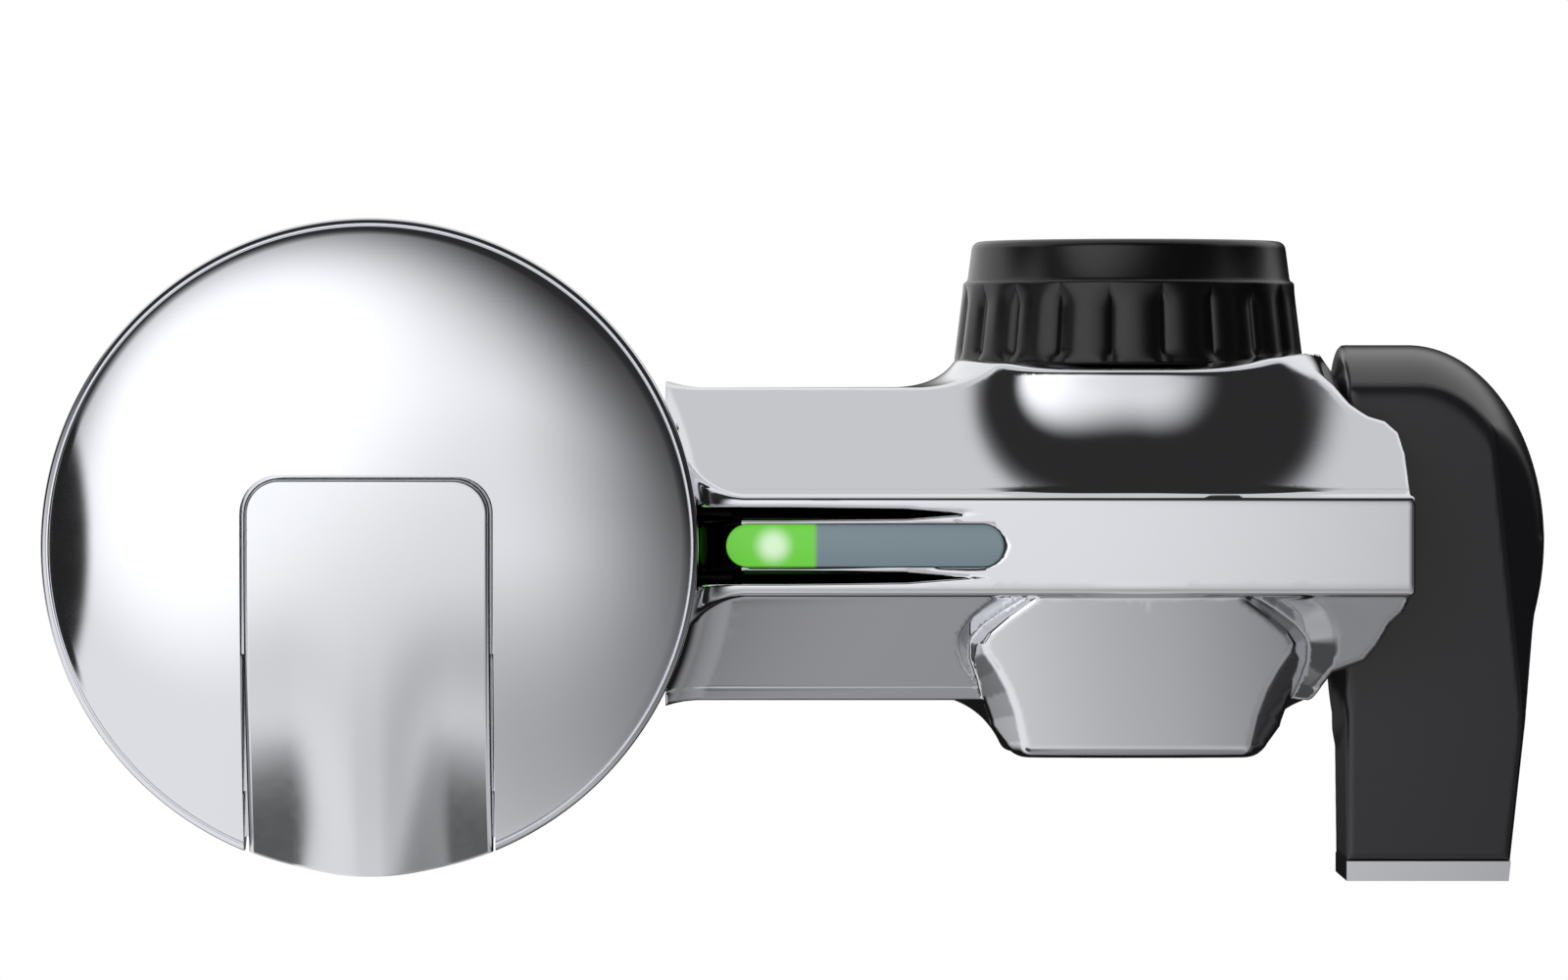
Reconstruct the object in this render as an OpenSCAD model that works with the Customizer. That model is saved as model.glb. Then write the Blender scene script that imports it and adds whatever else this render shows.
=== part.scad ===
// Water filter that screws onto a threaded outlet.
// Origin: centre of the mounting thread, at the top face of the collar.
// Z points up, X points to the lever, and Y points to the back.

/* [Mounting collar] */
// Radius of the internal mounting thread (15/16 inch, 27 turns an inch)
thread_r = 11.8; // [9:0.1:12]
// Depth of the internal thread
thread_h = 8.5; // [7:0.5:9]
// Height of the collar
collar_h = 14.5; // [14:0.5:18]
// Radius of the smooth top tier of the collar
collar_top_r = 18.4; // [17:0.1:19]
// Largest radius of the fluted part of the collar
collar_r = 20.4; // [19.5:0.1:22]
// Height of the smooth top tier
collar_tier_h = 4.6; // [3:0.2:6]
// Number of flutes round the collar
flutes = 20; // [12:1:28]
// Depth of a flute
flute_depth = 0.7; // [0.4:0.1:1]

/* [Arm] */
// Half of the arm's height
arm_half_h = 18.2; // [17.5:0.1:19]
// Half of the height of the flat front band
band_half_h = 5.7; // [5.5:0.1:6.5]
// Distance of the front band from the valve axis
band_y = 28; // [28:0.2:30]
// Distance of the upper and lower front edges from the valve axis
ridge_y = 17.5; // [16:0.5:18.5]
// Distance of the flat back from the valve axis
back_y = 21; // [21:0.5:24]
// Distance of the band's free end from the thread axis
band_end_x = 31.2; // [31:0.1:32]
// Wall of the moulded housing
wall = 2; // [1.6:0.1:2.2]
// Step between the band and the sloping panels
band_step = 0.7; // [0.4:0.1:1]

/* [Neck and spout] */
// Height of the neck between the collar and the arm
neck_h = 2.3; // [2:0.1:4]
// Radius of the neck below the collar
neck_r = 20; // [19:0.1:20.4]
// Radius where the flared neck meets the arm
flare_r = 30; // [28:0.5:30.5]
// Radius of the spout at its bottom
spout_r = 16.6; // [16:0.1:18]
// Height of the spout below the arm
spout_h = 6.3; // [5.5:0.1:8]
// Half of the widest part of the rounded front face of the spout
face_half_w = 17.8; // [16:0.1:19]

/* [Status light] */
// Distance from the drum's rim to the lens
lens_gap = 3; // [2:0.5:5]
// Length of the lens
lens_len = 31.6; // [28:0.2:32]
// Half of the height of the lens
lens_half_h = 2.7; // [2.4:0.1:2.9]
// How far the lens stands proud of the band
lens_proud = 0.6; // [0.3:0.1:0.8]

/* [Drum] */
// Distance from the thread axis to the drum's axis
drum_dist = 87; // [87:0.5:92]
// Radius of the drum's front rim
drum_r = 37; // [36.5:0.1:38]
// Step from the front rim in to the drum's side wall
side_step = 1.8; // [1.4:0.1:2.4]
// Distance of the front rim from the drum's middle plane
rim_y = 34; // [33:0.5:36]
// Height of the front dome over the rim
dome_h = 7; // [6:0.5:8]
// Distance of the drum shell's back edge from the middle plane
drum_back_y = 34; // [33:0.5:36]
// Half of the width of the tongue panel
tongue_half_w = 13.8; // [12:0.1:15]
// Height of the tongue panel's top edge over the drum's axis
tongue_top = 7.8; // [6:0.2:10]
// Width of the groove round the tongue panel
tongue_gap = 0.3; // [0.2:0.05:0.5]

/* [Vessel and cover] */
// Wall of the drum's shell round the vessel
drum_wall = 2.7; // [2:0.1:3]
// Wall of the pressure vessel
vessel_wall = 2.8; // [2.5:0.1:3.2]
// Depth of the cover's plug inside the vessel
plug_depth = 9; // [8.5:0.5:10]
// Thickness of the cover over its seal
cover_t = 9; // [8:0.5:12]
// Thickness of the cover's seal
seal_t = 1.6; // [1.2:0.1:2]
// Running clearance of the cover's plug
plug_fit = 0.1; // [0.06:0.02:0.2]

/* [Filter cartridge] */
// Gap between the cartridge and the vessel
cartridge_gap = 2.4; // [2:0.1:3.5]
// Thickness of each end cap
cap_t = 3; // [2.5:0.1:4]
// Depth of the pleated wrap and its end clearance
wrap_t = 9.2; // [8:0.2:11]
// Number of pleats round the carbon block
pleats = 48; // [24:1:60]

/* [Valve] */
// Radius of the bore that the spool turns in
bore_r = 8; // [7.5:0.1:8.5]
// Wall round that bore
bore_wall = 4.6; // [4.5:0.1:5]
// Running clearance of the spool
spool_fit = 0.05; // [0.03:0.01:0.1]

/* [Lever] */
// Left face of the lever's hub, from the thread axis
hub_x = 24.5; // [24.4:0.1:25]
// Radius of the lever's hub
hub_r = 22.9; // [22:0.1:23]
// Width of the hub's straight rim
hub_rim = 8.2; // [7:0.1:9]
// Length of the hub's domed end
hub_dome = 15.9; // [14:0.1:17]
// Distance of the flat front face from the valve axis
lever_face_y = 14.4; // [13:0.2:16]
// Length of the lever below the valve axis
lever_len = 39; // [36:0.5:44]
// Depth of the lever at its lower end
lever_tip_t = 16; // [12:0.5:20]
// Height of the bright strip at the lever's end
tip_h = 2.3; // [1.8:0.1:3]

/* [Hidden] */
$fn = 96;
seat = 0.02;
cut = 60;
valve_drop = collar_h + neck_h + arm_half_h;
drum_side_r = drum_r - side_step;
vessel_r = drum_side_r - drum_wall - 0.1 - vessel_wall;
cartridge_r = vessel_r - cartridge_gap;
carbon_r = cartridge_r - wrap_t;
valve_z = -valve_drop;
spout_drop = arm_half_h + spout_h;
lens_left = drum_dist - drum_r - lens_gap;

// Mounting end
washer_t = 1.8;
washer_z = -thread_h - washer_t;
stem_top = washer_z - seat;
stem_r = thread_r + 0.5;
stem_bore = 7.5;
clip_t = 1;
clip_z = -collar_h + 1.4;
clip_out = 1.4;
neck_top = -collar_h - 0.4;
screen_t = 0.8;
screen_hole_r = 0.8;

// Housing
end_wall_x = hub_x - 0.6;
hub_clear = hub_r + 0.4;
lever_hole_r = bore_r + 1;
body_left = -drum_dist + drum_side_r + 5.8;
cover_t_back = 2.4;
boss_r = 2.6;
boss_front = back_y - 12;
screw_r = 1;
screw_len = 7;
screw_head_r = 2.1;
base_screw_spots = [for (x = [body_left + 5, end_wall_x - 5.9], w = [1, -1]) [x, w * (arm_half_h - 5.7)]];
saddle_r = drum_side_r + 0.1;

// Valve
barrel_r = bore_r + bore_wall;
barrel_left = -17;
barrel_right = end_wall_x - wall - 0.1;
spool_r = bore_r - spool_fit;
outlet_r = 11;
outlet_bore = 7.2;
insert_r = 12.4;
insert_h = 6;
tube_r = 3.6;
tube_bore = 2.4;
tube_y = 7.6;
meter_r = 8.8;
meter_left = barrel_left - 14;
turbine_r = 6;
turbine_len = 6;
pin_r = 0.75;
spool_ring_t = 1.32;
spool_ring_spots = [barrel_left + 5.5, -7.5, 7.5, barrel_right - 4.5];

// Status light
lens_t = 2.6;
board_y = -band_y + 7;
board_len = lens_len + 2.4;
board_h = 12;
board_t = 1.2;
board_posts = [-lens_left + 4, -lens_left + 34];
post_r = 1.2;
post_drop = 4.4;
lamp_r = 1.5;
lamp_h = 2.6;
lamp_step = 9.5;
battery_r = 6.2;
battery_t = 2.6;

// Drum
vessel_out = vessel_r + vessel_wall;
vessel_front = -rim_y + 7;
vessel_back = drum_back_y - 1;
cartridge_front = vessel_front + vessel_wall + 1;
cartridge_back = vessel_back - plug_depth - 1;
cover_y = vessel_back + seal_t;
tongue_t = 1.8;
tongue_over = 0.6;
core_r = 5.1;
core_bore = 3.4;
nose_r = 5.6;
nose_ring_t = 1.6;
media_front = cartridge_front + cap_t + seat;
media_len = cartridge_back - cartridge_front - 2 * cap_t - 2 * seat;
grips = 24;

module at_valve() { translate([0, 0, valve_z]) children(); }
module at_drum() { translate([-drum_dist, 0, valve_z]) children(); }
module at_screws() { for (p = base_screw_spots) at_valve() translate([p[0], 0, p[1]]) children(); }
// Turns +Z into +X
module along_x(x = 0) { translate([x, 0, 0]) rotate([0, 90, 0]) children(); }
// Turns +Z into +Y
module along_y(y = 0) { translate([0, y, 0]) rotate([-90, 0, 0]) children(); }
// A front view outline, from y0 at the front to y1 at the back
module front_view(y0, y1) { translate([0, y1, 0]) rotate([90, 0, 0]) linear_extrude(y1 - y0) children(); }
// A section across the arm, from x0 to x1
module across(x0, x1) { translate([x0, 0, 0]) rotate([90, 0, 90]) linear_extrude(x1 - x0) children(); }
module tube(r, bore, h) {
    difference() {
        cylinder(r = r, h = h);
        translate([0, 0, -1]) cylinder(r = bore, h = h + 2);
    }
}
// Points on an arc
function arc(cx, cy, r, a0, a1, n) =
    [for (i = [0:n]) let (a = a0 + (a1 - a0) * i / n) [cx + r * cos(a), cy + r * sin(a)]];

// Section of the arm, drawn in by a wall t
module arm_section(t) {
    polygon([
        [-band_y + t, band_half_h - t / 4], [-band_y + band_step + t, band_half_h],
        [-ridge_y + t * 0.6, arm_half_h - t], [back_y, arm_half_h - t],
        [back_y, -arm_half_h + t], [-ridge_y + t * 0.6, -arm_half_h + t],
        [-band_y + band_step + t, -band_half_h], [-band_y + t, -band_half_h + t / 4]
    ]);
}
// Steps of the free end, from the band's end and from the arm's edges
arm_end_top = [[10.8, 0], [9, 0.9], [7, 2.5], [4.8, 3.6], [2.8, 4.1], [1.4, 5.4], [0.8, 7.8]];
arm_end_low = [[1.1, 10.6], [2.5, 9.2], [3.7, 6.8], [5.2, 4.8], [8.8, 3.4], [11.2, 0]];
// Outline of the arm from the front, with its cut-back end beside the lever
module arm_outline() {
    polygon(concat(
        [[-drum_dist, arm_half_h]],
        [for (p = arm_end_top) [band_end_x - p[0], arm_half_h - p[1]]],
        [[band_end_x, band_half_h], [band_end_x, -band_half_h]],
        [for (p = arm_end_low) [band_end_x - p[0], -arm_half_h + p[1]]],
        [[-drum_dist, -arm_half_h]]
    ));
}
module neck_section(t) {
    fillet = 5.2;
    polygon(concat(
        [[0, neck_top]],
        arc(neck_r + 4.4, neck_top + 3.2, fillet + t, 217, 262, 8),
        [[flare_r - 3.4 - t, valve_z + arm_half_h - 5], [flare_r - 1.4 - t, valve_z + arm_half_h - 9],
         [flare_r - t, valve_z + band_half_h], [flare_r - t, valve_z], [0, valve_z]]
    ));
}
module spout_section(t) {
    // Fillet between the arm's underside and the spout, ending above the rounded lower edge
    flare = spout_h - 2.6;
    top = valve_z - arm_half_h + 2;
    bottom = valve_z - spout_drop;
    polygon(concat(
        [[0, top + 6], [spout_r + flare + 2.4 - t, top + 6]],
        arc(spout_r + flare + 2.4, top - flare - 2, flare + t, 90 + asin(t / (flare + t)), 172, 12),
        [[spout_r + 1 - t, bottom + 2.2]],
        arc(spout_r - 1.2, bottom + 2, 2 - min(t, 1.9), 0, -90, 6),
        [[0, bottom + (t > 0 ? -1 : 0)]]
    ));
}
// Rounded face at the front of the spout
module spout_face(t) {
    low = -spout_drop;
    // Half of the outline: step in from the widest part, and drop below the band
    side = [[7.8, 0], [3.2, 2.7], [0, 5.3], [0.6, 8], [2.6, 12.2], [5.2, spout_drop - band_half_h]];
    right = [for (p = side) [face_half_w - p[0], -band_half_h - p[1]]];
    intersection() {
        front_view(-band_y, 0) polygon(concat(right, [for (i = [5:-1:0]) [-right[i][0], right[i][1]]]));
        translate([0, 0, low]) rotate_extrude() polygon([
            [0, 0], [spout_r + 2 - t, 0], [spout_r + 3.2 - t, 2],
            [band_y - 1.4 - t, spout_drop - band_half_h], [0, spout_drop - band_half_h]
        ]);
    }
}
// Web that widens the band where it runs into the drum
module drum_root(t) {
    r = 7.6;
    x = -drum_dist + drum_side_r + 6.6;
    front_view(-band_y + 1 + t, back_y) polygon(concat(
        [[-drum_dist, band_half_h + r + 3]],
        arc(x, band_half_h + r, r, 180, 270, 8),
        arc(x, -band_half_h - r, r, 90, 180, 8),
        [[-drum_dist, -band_half_h - r - 3]]
    ));
}
module lens_outline(grow) {
    r = lens_half_h + grow;
    translate([-lens_left + lens_half_h, 0]) circle(r = r);
    translate([-lens_left + lens_len - lens_half_h, 0]) circle(r = r);
    translate([-lens_left + lens_half_h, -r]) square([lens_len - 2 * lens_half_h, 2 * r]);
}
module housing_solid(t) {
    at_valve() intersection() {
        across(-drum_dist, band_end_x) arm_section(t);
        front_view(-cut, cut) arm_outline();
    }
    intersection() {
        rotate_extrude() neck_section(t);
        translate([-cut, -band_y + band_step + t, valve_z]) cube([2 * cut, band_y - band_step + back_y - t, cut]);
        at_valve() translate([-cut, -cut, 0]) cube([cut + end_wall_x, 2 * cut, cut]);
    }
    rotate_extrude() spout_section(t);
    at_valve() spout_face(t);
    at_valve() drum_root(t);
}
// Room inside the housing, open at the back
module housing_room() {
    intersection() {
        housing_solid(wall);
        translate([body_left, -cut, -2 * cut]) cube([end_wall_x - wall - body_left, 2 * cut, 2 * cut]);
    }
    at_valve() across(body_left, end_wall_x - wall) translate([10, -arm_half_h + wall]) square([cut, 2 * (arm_half_h - wall)]);
}
module base_shell() {
    color([0.8, 0.81, 0.83]) base_casting();
}
module base_casting() {
    difference() {
        union() {
            difference() {
                housing_solid(0);
                housing_room();
            }
            base_bosses();
        }
        // Seat of the rear cover
        at_valve() translate([body_left - wall, back_y - cover_t_back, -arm_half_h + 1])
            cube([end_wall_x - body_left + 1, cut, 2 * (arm_half_h - 1)]);
        // Hollow that the lever's hub turns in, open to the back
        at_valve() along_x(end_wall_x) cylinder(r = hub_clear, h = cut);
        at_valve() translate([end_wall_x, -ridge_y + 2, -cut]) cube([cut, 2 * cut, 2 * cut]);
        at_valve() along_x() cylinder(r = lever_hole_r, h = cut);
        // Hole for the inlet stem
        translate([0, 0, neck_top - 6]) cylinder(r = stem_r + 0.1, h = cut);
        // Mouth of the spout
        translate([0, 0, valve_z - spout_drop - 1]) cylinder(r = insert_r + 0.1, h = insert_h + 6);
        // Saddle against the drum
        at_drum() along_y(-cut) cylinder(r = saddle_r, h = 2 * cut);
        // Window and grooves round the lens
        at_valve() front_view(-cut, -band_y + 6) lens_outline(0.1);
        at_valve() for (s = [-1, 1]) translate([0, -band_y, s * (lens_half_h + 1.3)])
            along_x(-lens_left) cylinder(r = 0.8, h = lens_len - 3);
        // Water tubes
        at_valve() for (s = [-1, 1]) translate([0, s * tube_y, 0]) along_x(-drum_dist) cylinder(r = tube_r + 0.1, h = 60);
        // Screw holes of the rear cover
        at_screws() along_y(boss_front + 1.5) cylinder(r = screw_r + 0.03, h = cut);
    }
    // Posts that carry the circuit board
    for (x = board_posts) at_valve() translate([x, 0, -post_drop]) along_y(-band_y + wall - 0.2)
        cylinder(r = post_r, h = board_y + band_y - wall + 0.2 - seat);
}
// Screw bosses, joined to the nearer wall of the housing
module base_bosses() {
    h = back_y - cover_t_back - seat - boss_front;
    for (p = base_screw_spots) at_valve() translate([p[0], 0, p[1]]) {
        along_y(boss_front) cylinder(r = boss_r, h = h);
        translate([-1, boss_front, p[1] > 0 ? 0 : -5]) cube([2, h, 5]);
    }
}
module base_rear_cover() {
    color([0.16, 0.16, 0.17]) difference() {
        at_valve() translate([body_left - wall + 0.1, back_y - cover_t_back + seat, -arm_half_h + 1.1])
            cube([end_wall_x - body_left + 0.8, cover_t_back - seat, 2 * (arm_half_h - 1.1)]);
        at_screws() along_y(back_y - 9) cylinder(r = screw_r + 0.1, h = cut);
        at_screws() along_y(back_y - 1.4) cylinder(r = screw_head_r + 0.2, h = cut);
        at_drum() along_y(-cut) cylinder(r = saddle_r, h = 2 * cut);
    }
}
// Cross slot of a screw's head
module cross_slot(reach, half_w, z) {
    translate([-reach, -half_w, z]) cube([2 * reach, 2 * half_w, 3]);
    translate([-half_w, -reach, z]) cube([2 * half_w, 2 * reach, 3]);
}
module base_screws() {
    color("silver") at_screws() along_y(back_y - 1.38) difference() {
        union() {
            cylinder(r = screw_head_r, h = 1.1);
            translate([0, 0, -screw_len]) cylinder(r = screw_r, h = screw_len + 0.2);
        }
        cross_slot(1.5, 0.25, 0.5);
    }
}

// Fluted nut, held on the inlet stem by a split ring
module mount_collar() {
    flute_top = -collar_tier_h;
    color([0.09, 0.09, 0.1]) difference() {
        rotate_extrude() polygon([
            [0, 0], [collar_top_r - 0.8, 0], [collar_top_r, -0.8], [collar_top_r + 0.5, flute_top],
            [collar_top_r + 0.9, flute_top - 0.6], [collar_r, -collar_h + 0.6], [collar_r - 0.5, -collar_h], [0, -collar_h]
        ]);
        // Mounting thread
        translate([0, 0, -thread_h]) cylinder(r = thread_r, h = cut);
        // Running fit on the stem
        translate([0, 0, -collar_h - 1]) cylinder(r = stem_r + 0.08, h = collar_h + 1 - thread_h + 0.01);
        // Groove for the split ring
        translate([0, 0, clip_z - 0.1]) cylinder(r = stem_r + clip_out + 0.1, h = clip_t + 0.2);
        for (i = [0:flutes - 1]) rotate([0, 0, 360 * (i + 0.5) / flutes])
            translate([collar_r + 1.3, 0, -collar_h - 1]) cylinder(r = 1.3 + flute_depth, h = collar_h - collar_tier_h + 1);
    }
}
module collar_clip() {
    color("silver") translate([0, 0, clip_z]) difference() {
        tube(stem_r + clip_out, stem_r - 0.7, clip_t);
        translate([0, -1, -1]) cube([cut, 2, 4]);
    }
}
module inlet_washer() {
    color([0.12, 0.12, 0.12]) translate([0, 0, washer_z]) tube(thread_r - 0.2, stem_bore - 0.5, washer_t - seat);
}
module inlet_screen() {
    color("silver") translate([0, 0, washer_z - screen_t - 0.1]) difference() {
        cylinder(r = stem_bore - 0.05, h = screen_t);
        for (x = [-2:2], y = [-2:2]) if (x * x + y * y < 7)
            translate([x * 3 * screen_hole_r, y * 3 * screen_hole_r, -1]) cylinder(r = screen_hole_r, h = 3);
    }
}

// Moulded body: inlet stem, spool bore, outlet and meter housing
module valve_body() {
    color([0.85, 0.86, 0.84]) difference() {
        union() {
            at_valve() along_x(barrel_left) cylinder(r = barrel_r, h = barrel_right - barrel_left);
            translate([0, 0, valve_z]) cylinder(r = stem_r, h = stem_top - valve_z);
            translate([0, 0, valve_z - spout_drop + insert_h + 0.6]) cylinder(r = outlet_r, h = spout_drop - insert_h - 0.6);
            at_valve() translate([0, tube_y, 0]) along_x(meter_left) cylinder(r = meter_r, h = barrel_left - meter_left + 1);
        }
        at_valve() along_x(barrel_left + 3) cylinder(r = bore_r, h = cut);
        translate([0, 0, valve_z]) cylinder(r = stem_bore, h = cut);
        translate([0, 0, valve_z - cut]) cylinder(r = outlet_bore, h = cut);
        // Groove of the split ring
        translate([0, 0, clip_z - 0.05]) difference() {
            cylinder(r = stem_r + 1, h = clip_t + 0.1);
            translate([0, 0, -1]) cylinder(r = stem_r - 0.75, h = 4);
        }
        // Meter chamber and its two ports
        at_valve() translate([0, tube_y, 0]) along_x(meter_left + 2)
            cylinder(r = turbine_r + 0.6, h = barrel_left - meter_left - 3.4);
        at_valve() translate([0, tube_y, 0]) along_x(meter_left - 1) cylinder(r = tube_r + 0.05, h = 3.1);
        at_valve() translate([0, tube_y - 2.8, 0]) along_x(meter_left + 6) cylinder(r = 2, h = 14);
        at_valve() translate([0, tube_y, 0]) along_x(barrel_left - 1.5) cylinder(r = pin_r + 0.02, h = 4);
        // Port of the filtered water tube
        at_valve() translate([0, -tube_y, 0]) along_x(barrel_left - 1) cylinder(r = tube_r + 0.05, h = 3.5);
        at_valve() translate([0, -tube_y + 2.8, 0]) along_x(barrel_left) cylinder(r = 1.9, h = 5);
    }
}
module diverter_spool() {
    drive_x = hub_x + 5;
    color([0.93, 0.93, 0.9]) at_valve() difference() {
        union() {
            along_x(barrel_left + 3.5) cylinder(r = spool_r, h = hub_x - 0.3 - barrel_left - 3.5);
            translate([hub_x - 0.4, -4.5, -4.5]) cube([drive_x - hub_x + 0.4, 9, 9]);
        }
        // Cross bore and the hollow that feeds the cartridge
        translate([0, 0, -cut]) cylinder(r = 3.4, h = 2 * cut);
        along_x(barrel_left) cylinder(r = 4.6, h = -barrel_left - 5);
        along_x(drive_x - 9) cylinder(r = 1.2, h = cut);
        // Grooves of the sealing rings and of the retaining clip
        for (x = spool_ring_spots) along_x(x) ring_groove(spool_r + 1, spool_r - spool_ring_t - 0.1, spool_ring_t + 0.38);
        along_x(barrel_right + 0.3) ring_groove(spool_r + 1, spool_r - 1, 1.1);
    }
}
module ring_groove(outer, inner, h) {
    difference() {
        cylinder(r = outer, h = h);
        translate([0, 0, -1]) cylinder(r = inner, h = h + 2);
    }
}
module spool_rings() {
    color([0.1, 0.1, 0.1]) at_valve() for (x = spool_ring_spots)
        along_x(x + spool_ring_t / 2 + 0.19) rotate_extrude() translate([bore_r - spool_ring_t / 2 - 0.04, 0])
            circle(d = spool_ring_t, $fn = 32);
}
module spool_clip() {
    color("silver") at_valve() along_x(barrel_right + 0.35) difference() {
        tube(lever_hole_r - 0.15, spool_r - 0.95, 1);
        translate([0, -1.5, -1]) cube([cut, 3, 4]);
    }
}

// Lever: a domed hub cut flat in front, and a tapered tail
module lever_profile(y0, y1, t) {
    tail_right = hub_x + hub_rim + hub_dome;
    front_view(y0, y1) polygon([
        [hub_x + t, 0], [tail_right - 1.2 - t, 0],
        [tail_right - 5.4 - t, -lever_len], [hub_x + t, -lever_len]
    ]);
}
module hub_solid(t) {
    along_x(hub_x) rotate_extrude() polygon(concat(
        [[0, 0], [hub_r - 0.6 - t, 0], [hub_r - t, 0.6], [hub_r - t, hub_rim]],
        [for (i = [1:16]) [(hub_r - t) * cos(90 * i / 16), hub_rim + (hub_dome - t) * sin(90 * i / 16)]]
    ));
}
module lever_handle() {
    back_top = lever_face_y - lever_tip_t - 6;
    color([0.2, 0.19, 0.21]) at_valve() difference() {
        union() {
            hub_solid(0);
            intersection() {
                lever_profile(-cut, cut, 0);
                // Depth of the tail, thinner towards its end
                across(hub_x, hub_x + cut) polygon([
                    [-lever_face_y - 1, 0], [-lever_face_y, -lever_len + tip_h + 2], [-lever_face_y, -lever_len + tip_h],
                    [-lever_face_y + lever_tip_t, -lever_len + tip_h], [-back_top, -12], [-back_top, 0]
                ]);
            }
        }
        // Flat front face
        translate([hub_x - 1, -cut, -cut]) cube([cut, cut - lever_face_y, 2 * cut]);
        // Chamfer down the outer edge of the tail
        lever_chamfer();
        // Square socket, screw hole and counterbore
        translate([hub_x - 1, -4.55, -4.55]) cube([6.1, 9.1, 9.1]);
        along_x(hub_x) cylinder(r = 1.6, h = 10);
        // Hollow back of the tail
        across(hub_x + 2, hub_x + hub_rim + hub_dome - 7) polygon([
            [-lever_face_y + 2.4, -hub_r - 0.5], [-lever_face_y + 2.4, -lever_len + tip_h + 2.4],
            [cut, -lever_len + tip_h + 2.4], [cut, -hub_r - 0.5]
        ]);
        along_x(hub_x + 8.5) cylinder(r = 3.2, h = cut);
    }
}
module lever_chamfer() {
    edge = hub_x + hub_rim + hub_dome;
    translate([0, -lever_face_y, 0]) linear_extrude(2 * cut, center = true) polygon([
        [edge - 4.6, -1], [edge + 2, -1], [edge + 2, 6], [edge - 0.6, 6]
    ]);
}
module lever_tip() {
    color([0.85, 0.85, 0.87]) at_valve() difference() {
        intersection() {
            lever_profile(-lever_face_y, -lever_face_y + lever_tip_t, 0);
            translate([0, -cut, -lever_len]) cube([2 * cut, 2 * cut, tip_h - seat]);
        }
        lever_chamfer();
    }
}
module lever_screw() {
    color("silver") at_valve() along_x(hub_x + 8.52) difference() {
        union() {
            cylinder(r = 3, h = 2);
            translate([0, 0, -12]) cylinder(r = 1.15, h = 12.1);
        }
        cross_slot(2, 0.35, 1);
    }
}

// Spout insert: a clear centre bore for filtered water and a ring of spray holes
module spout_insert() {
    bottom = valve_z - spout_drop + 0.5;
    color([0.2, 0.2, 0.21]) translate([0, 0, bottom]) difference() {
        cylinder(r = insert_r, h = insert_h);
        translate([0, 0, 2]) difference() {
            cylinder(r = insert_r - 1.6, h = cut);
            cylinder(r = 5, h = cut);
        }
        translate([0, 0, -1]) cylinder(r = 3.6, h = cut);
        translate([0, 0, -1]) cylinder(r = 4.6, h = 2.4);
        for (i = [0:17]) rotate([0, 0, 20 * i]) translate([8, 0, -1]) cylinder(r = 0.75, h = 5);
    }
}
module aerator_screen() {
    color("silver") translate([0, 0, valve_z - spout_drop + 1]) difference() {
        cylinder(r = 4.55, h = 0.7);
        for (x = [-2:2], y = [-2:2]) if (x * x + y * y < 7) translate([x * 1.5, y * 1.5, -1]) cylinder(r = 0.5, h = 3);
    }
}

// Status light
module status_lens() {
    color([0.55, 0.62, 0.66]) at_valve() {
        front_view(-band_y, -band_y + lens_t) lens_outline(0);
        // Domed face
        intersection() {
            front_view(-band_y - lens_proud, -band_y + 0.1) lens_outline(-0.02);
            dome_r = (lens_half_h * lens_half_h + lens_proud * lens_proud) / (2 * lens_proud);
            translate([0, -band_y - lens_proud + dome_r, 0]) along_x(-lens_left - 1) cylinder(r = dome_r, h = lens_len + 2);
        }
    }
}
module status_lamps() {
    color([0.9, 0.95, 0.8]) at_valve() for (i = [0:2]) translate([-lens_left + lens_gap + 2.5 + i * lamp_step, 0, 0])
        along_y(board_y - lamp_h - seat) cylinder(r = lamp_r, h = lamp_h);
}
module circuit_board() {
    color([0.1, 0.35, 0.2]) at_valve() translate([-lens_left + 2, board_y, -board_h / 2]) cube([board_len, board_t, board_h]);
}
module coin_battery() {
    color("silver") at_valve() translate([-lens_left + board_len / 2 + 1, 0, 0]) along_y(board_y + board_t + seat) union() {
        cylinder(r = battery_r, h = battery_t);
        translate([0, 0, battery_t]) cylinder(r = battery_r - 0.8, h = 0.4);
    }
}

// Flow meter
module flow_turbine() {
    color([0.2, 0.4, 0.75]) at_valve() translate([0, tube_y, 0]) along_x(meter_left + 4) difference() {
        union() {
            cylinder(r = 0.4 * turbine_r, h = turbine_len);
            for (i = [0:5]) rotate([0, 0, 60 * i]) translate([0, -0.5, 0.4]) cube([turbine_r, 1, turbine_len - 0.8]);
        }
        translate([0, 0, -1]) cylinder(r = pin_r + 0.05, h = turbine_len + 3);
    }
}
module turbine_pin() {
    color("silver") at_valve() translate([0, tube_y, 0]) along_x(meter_left + 3)
        cylinder(r = pin_r, h = barrel_left + 1.4 - meter_left - 3);
}
module water_tube(y, x_right) {
    x_left = -drum_dist + vessel_out + 0.05;
    at_valve() translate([0, y, 0]) along_x(x_left) tube(tube_r, tube_bore, x_right - x_left);
}
module raw_water_tube() { color([0.9, 0.9, 0.9]) water_tube(tube_y, meter_left + 2); }
module filtered_water_tube() { color([0.9, 0.9, 0.9]) water_tube(-tube_y, barrel_left + 2.4); }

// Outline of the tongue panel in the front view, round the drum's axis
module tongue_outline(grow) {
    w = tongue_half_w + grow;
    r = 4;
    translate([-w, -drum_r - 5]) square([2 * w, drum_r + 5 + tongue_top + grow - r]);
    translate([-w + r, -drum_r - 5]) square([2 * (w - r), drum_r + 5 + tongue_top + grow]);
    for (s = [-1, 1]) translate([s * (w - r), tongue_top + grow - r]) circle(r = r);
}
// Sphere that the front dome is a cap of, drawn in by t
module dome_sphere(t) {
    dome_r = (drum_r * drum_r + dome_h * dome_h) / (2 * dome_h);
    translate([0, -rim_y - dome_h + dome_r, 0]) sphere(r = dome_r - t, $fn = 200);
}
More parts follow.
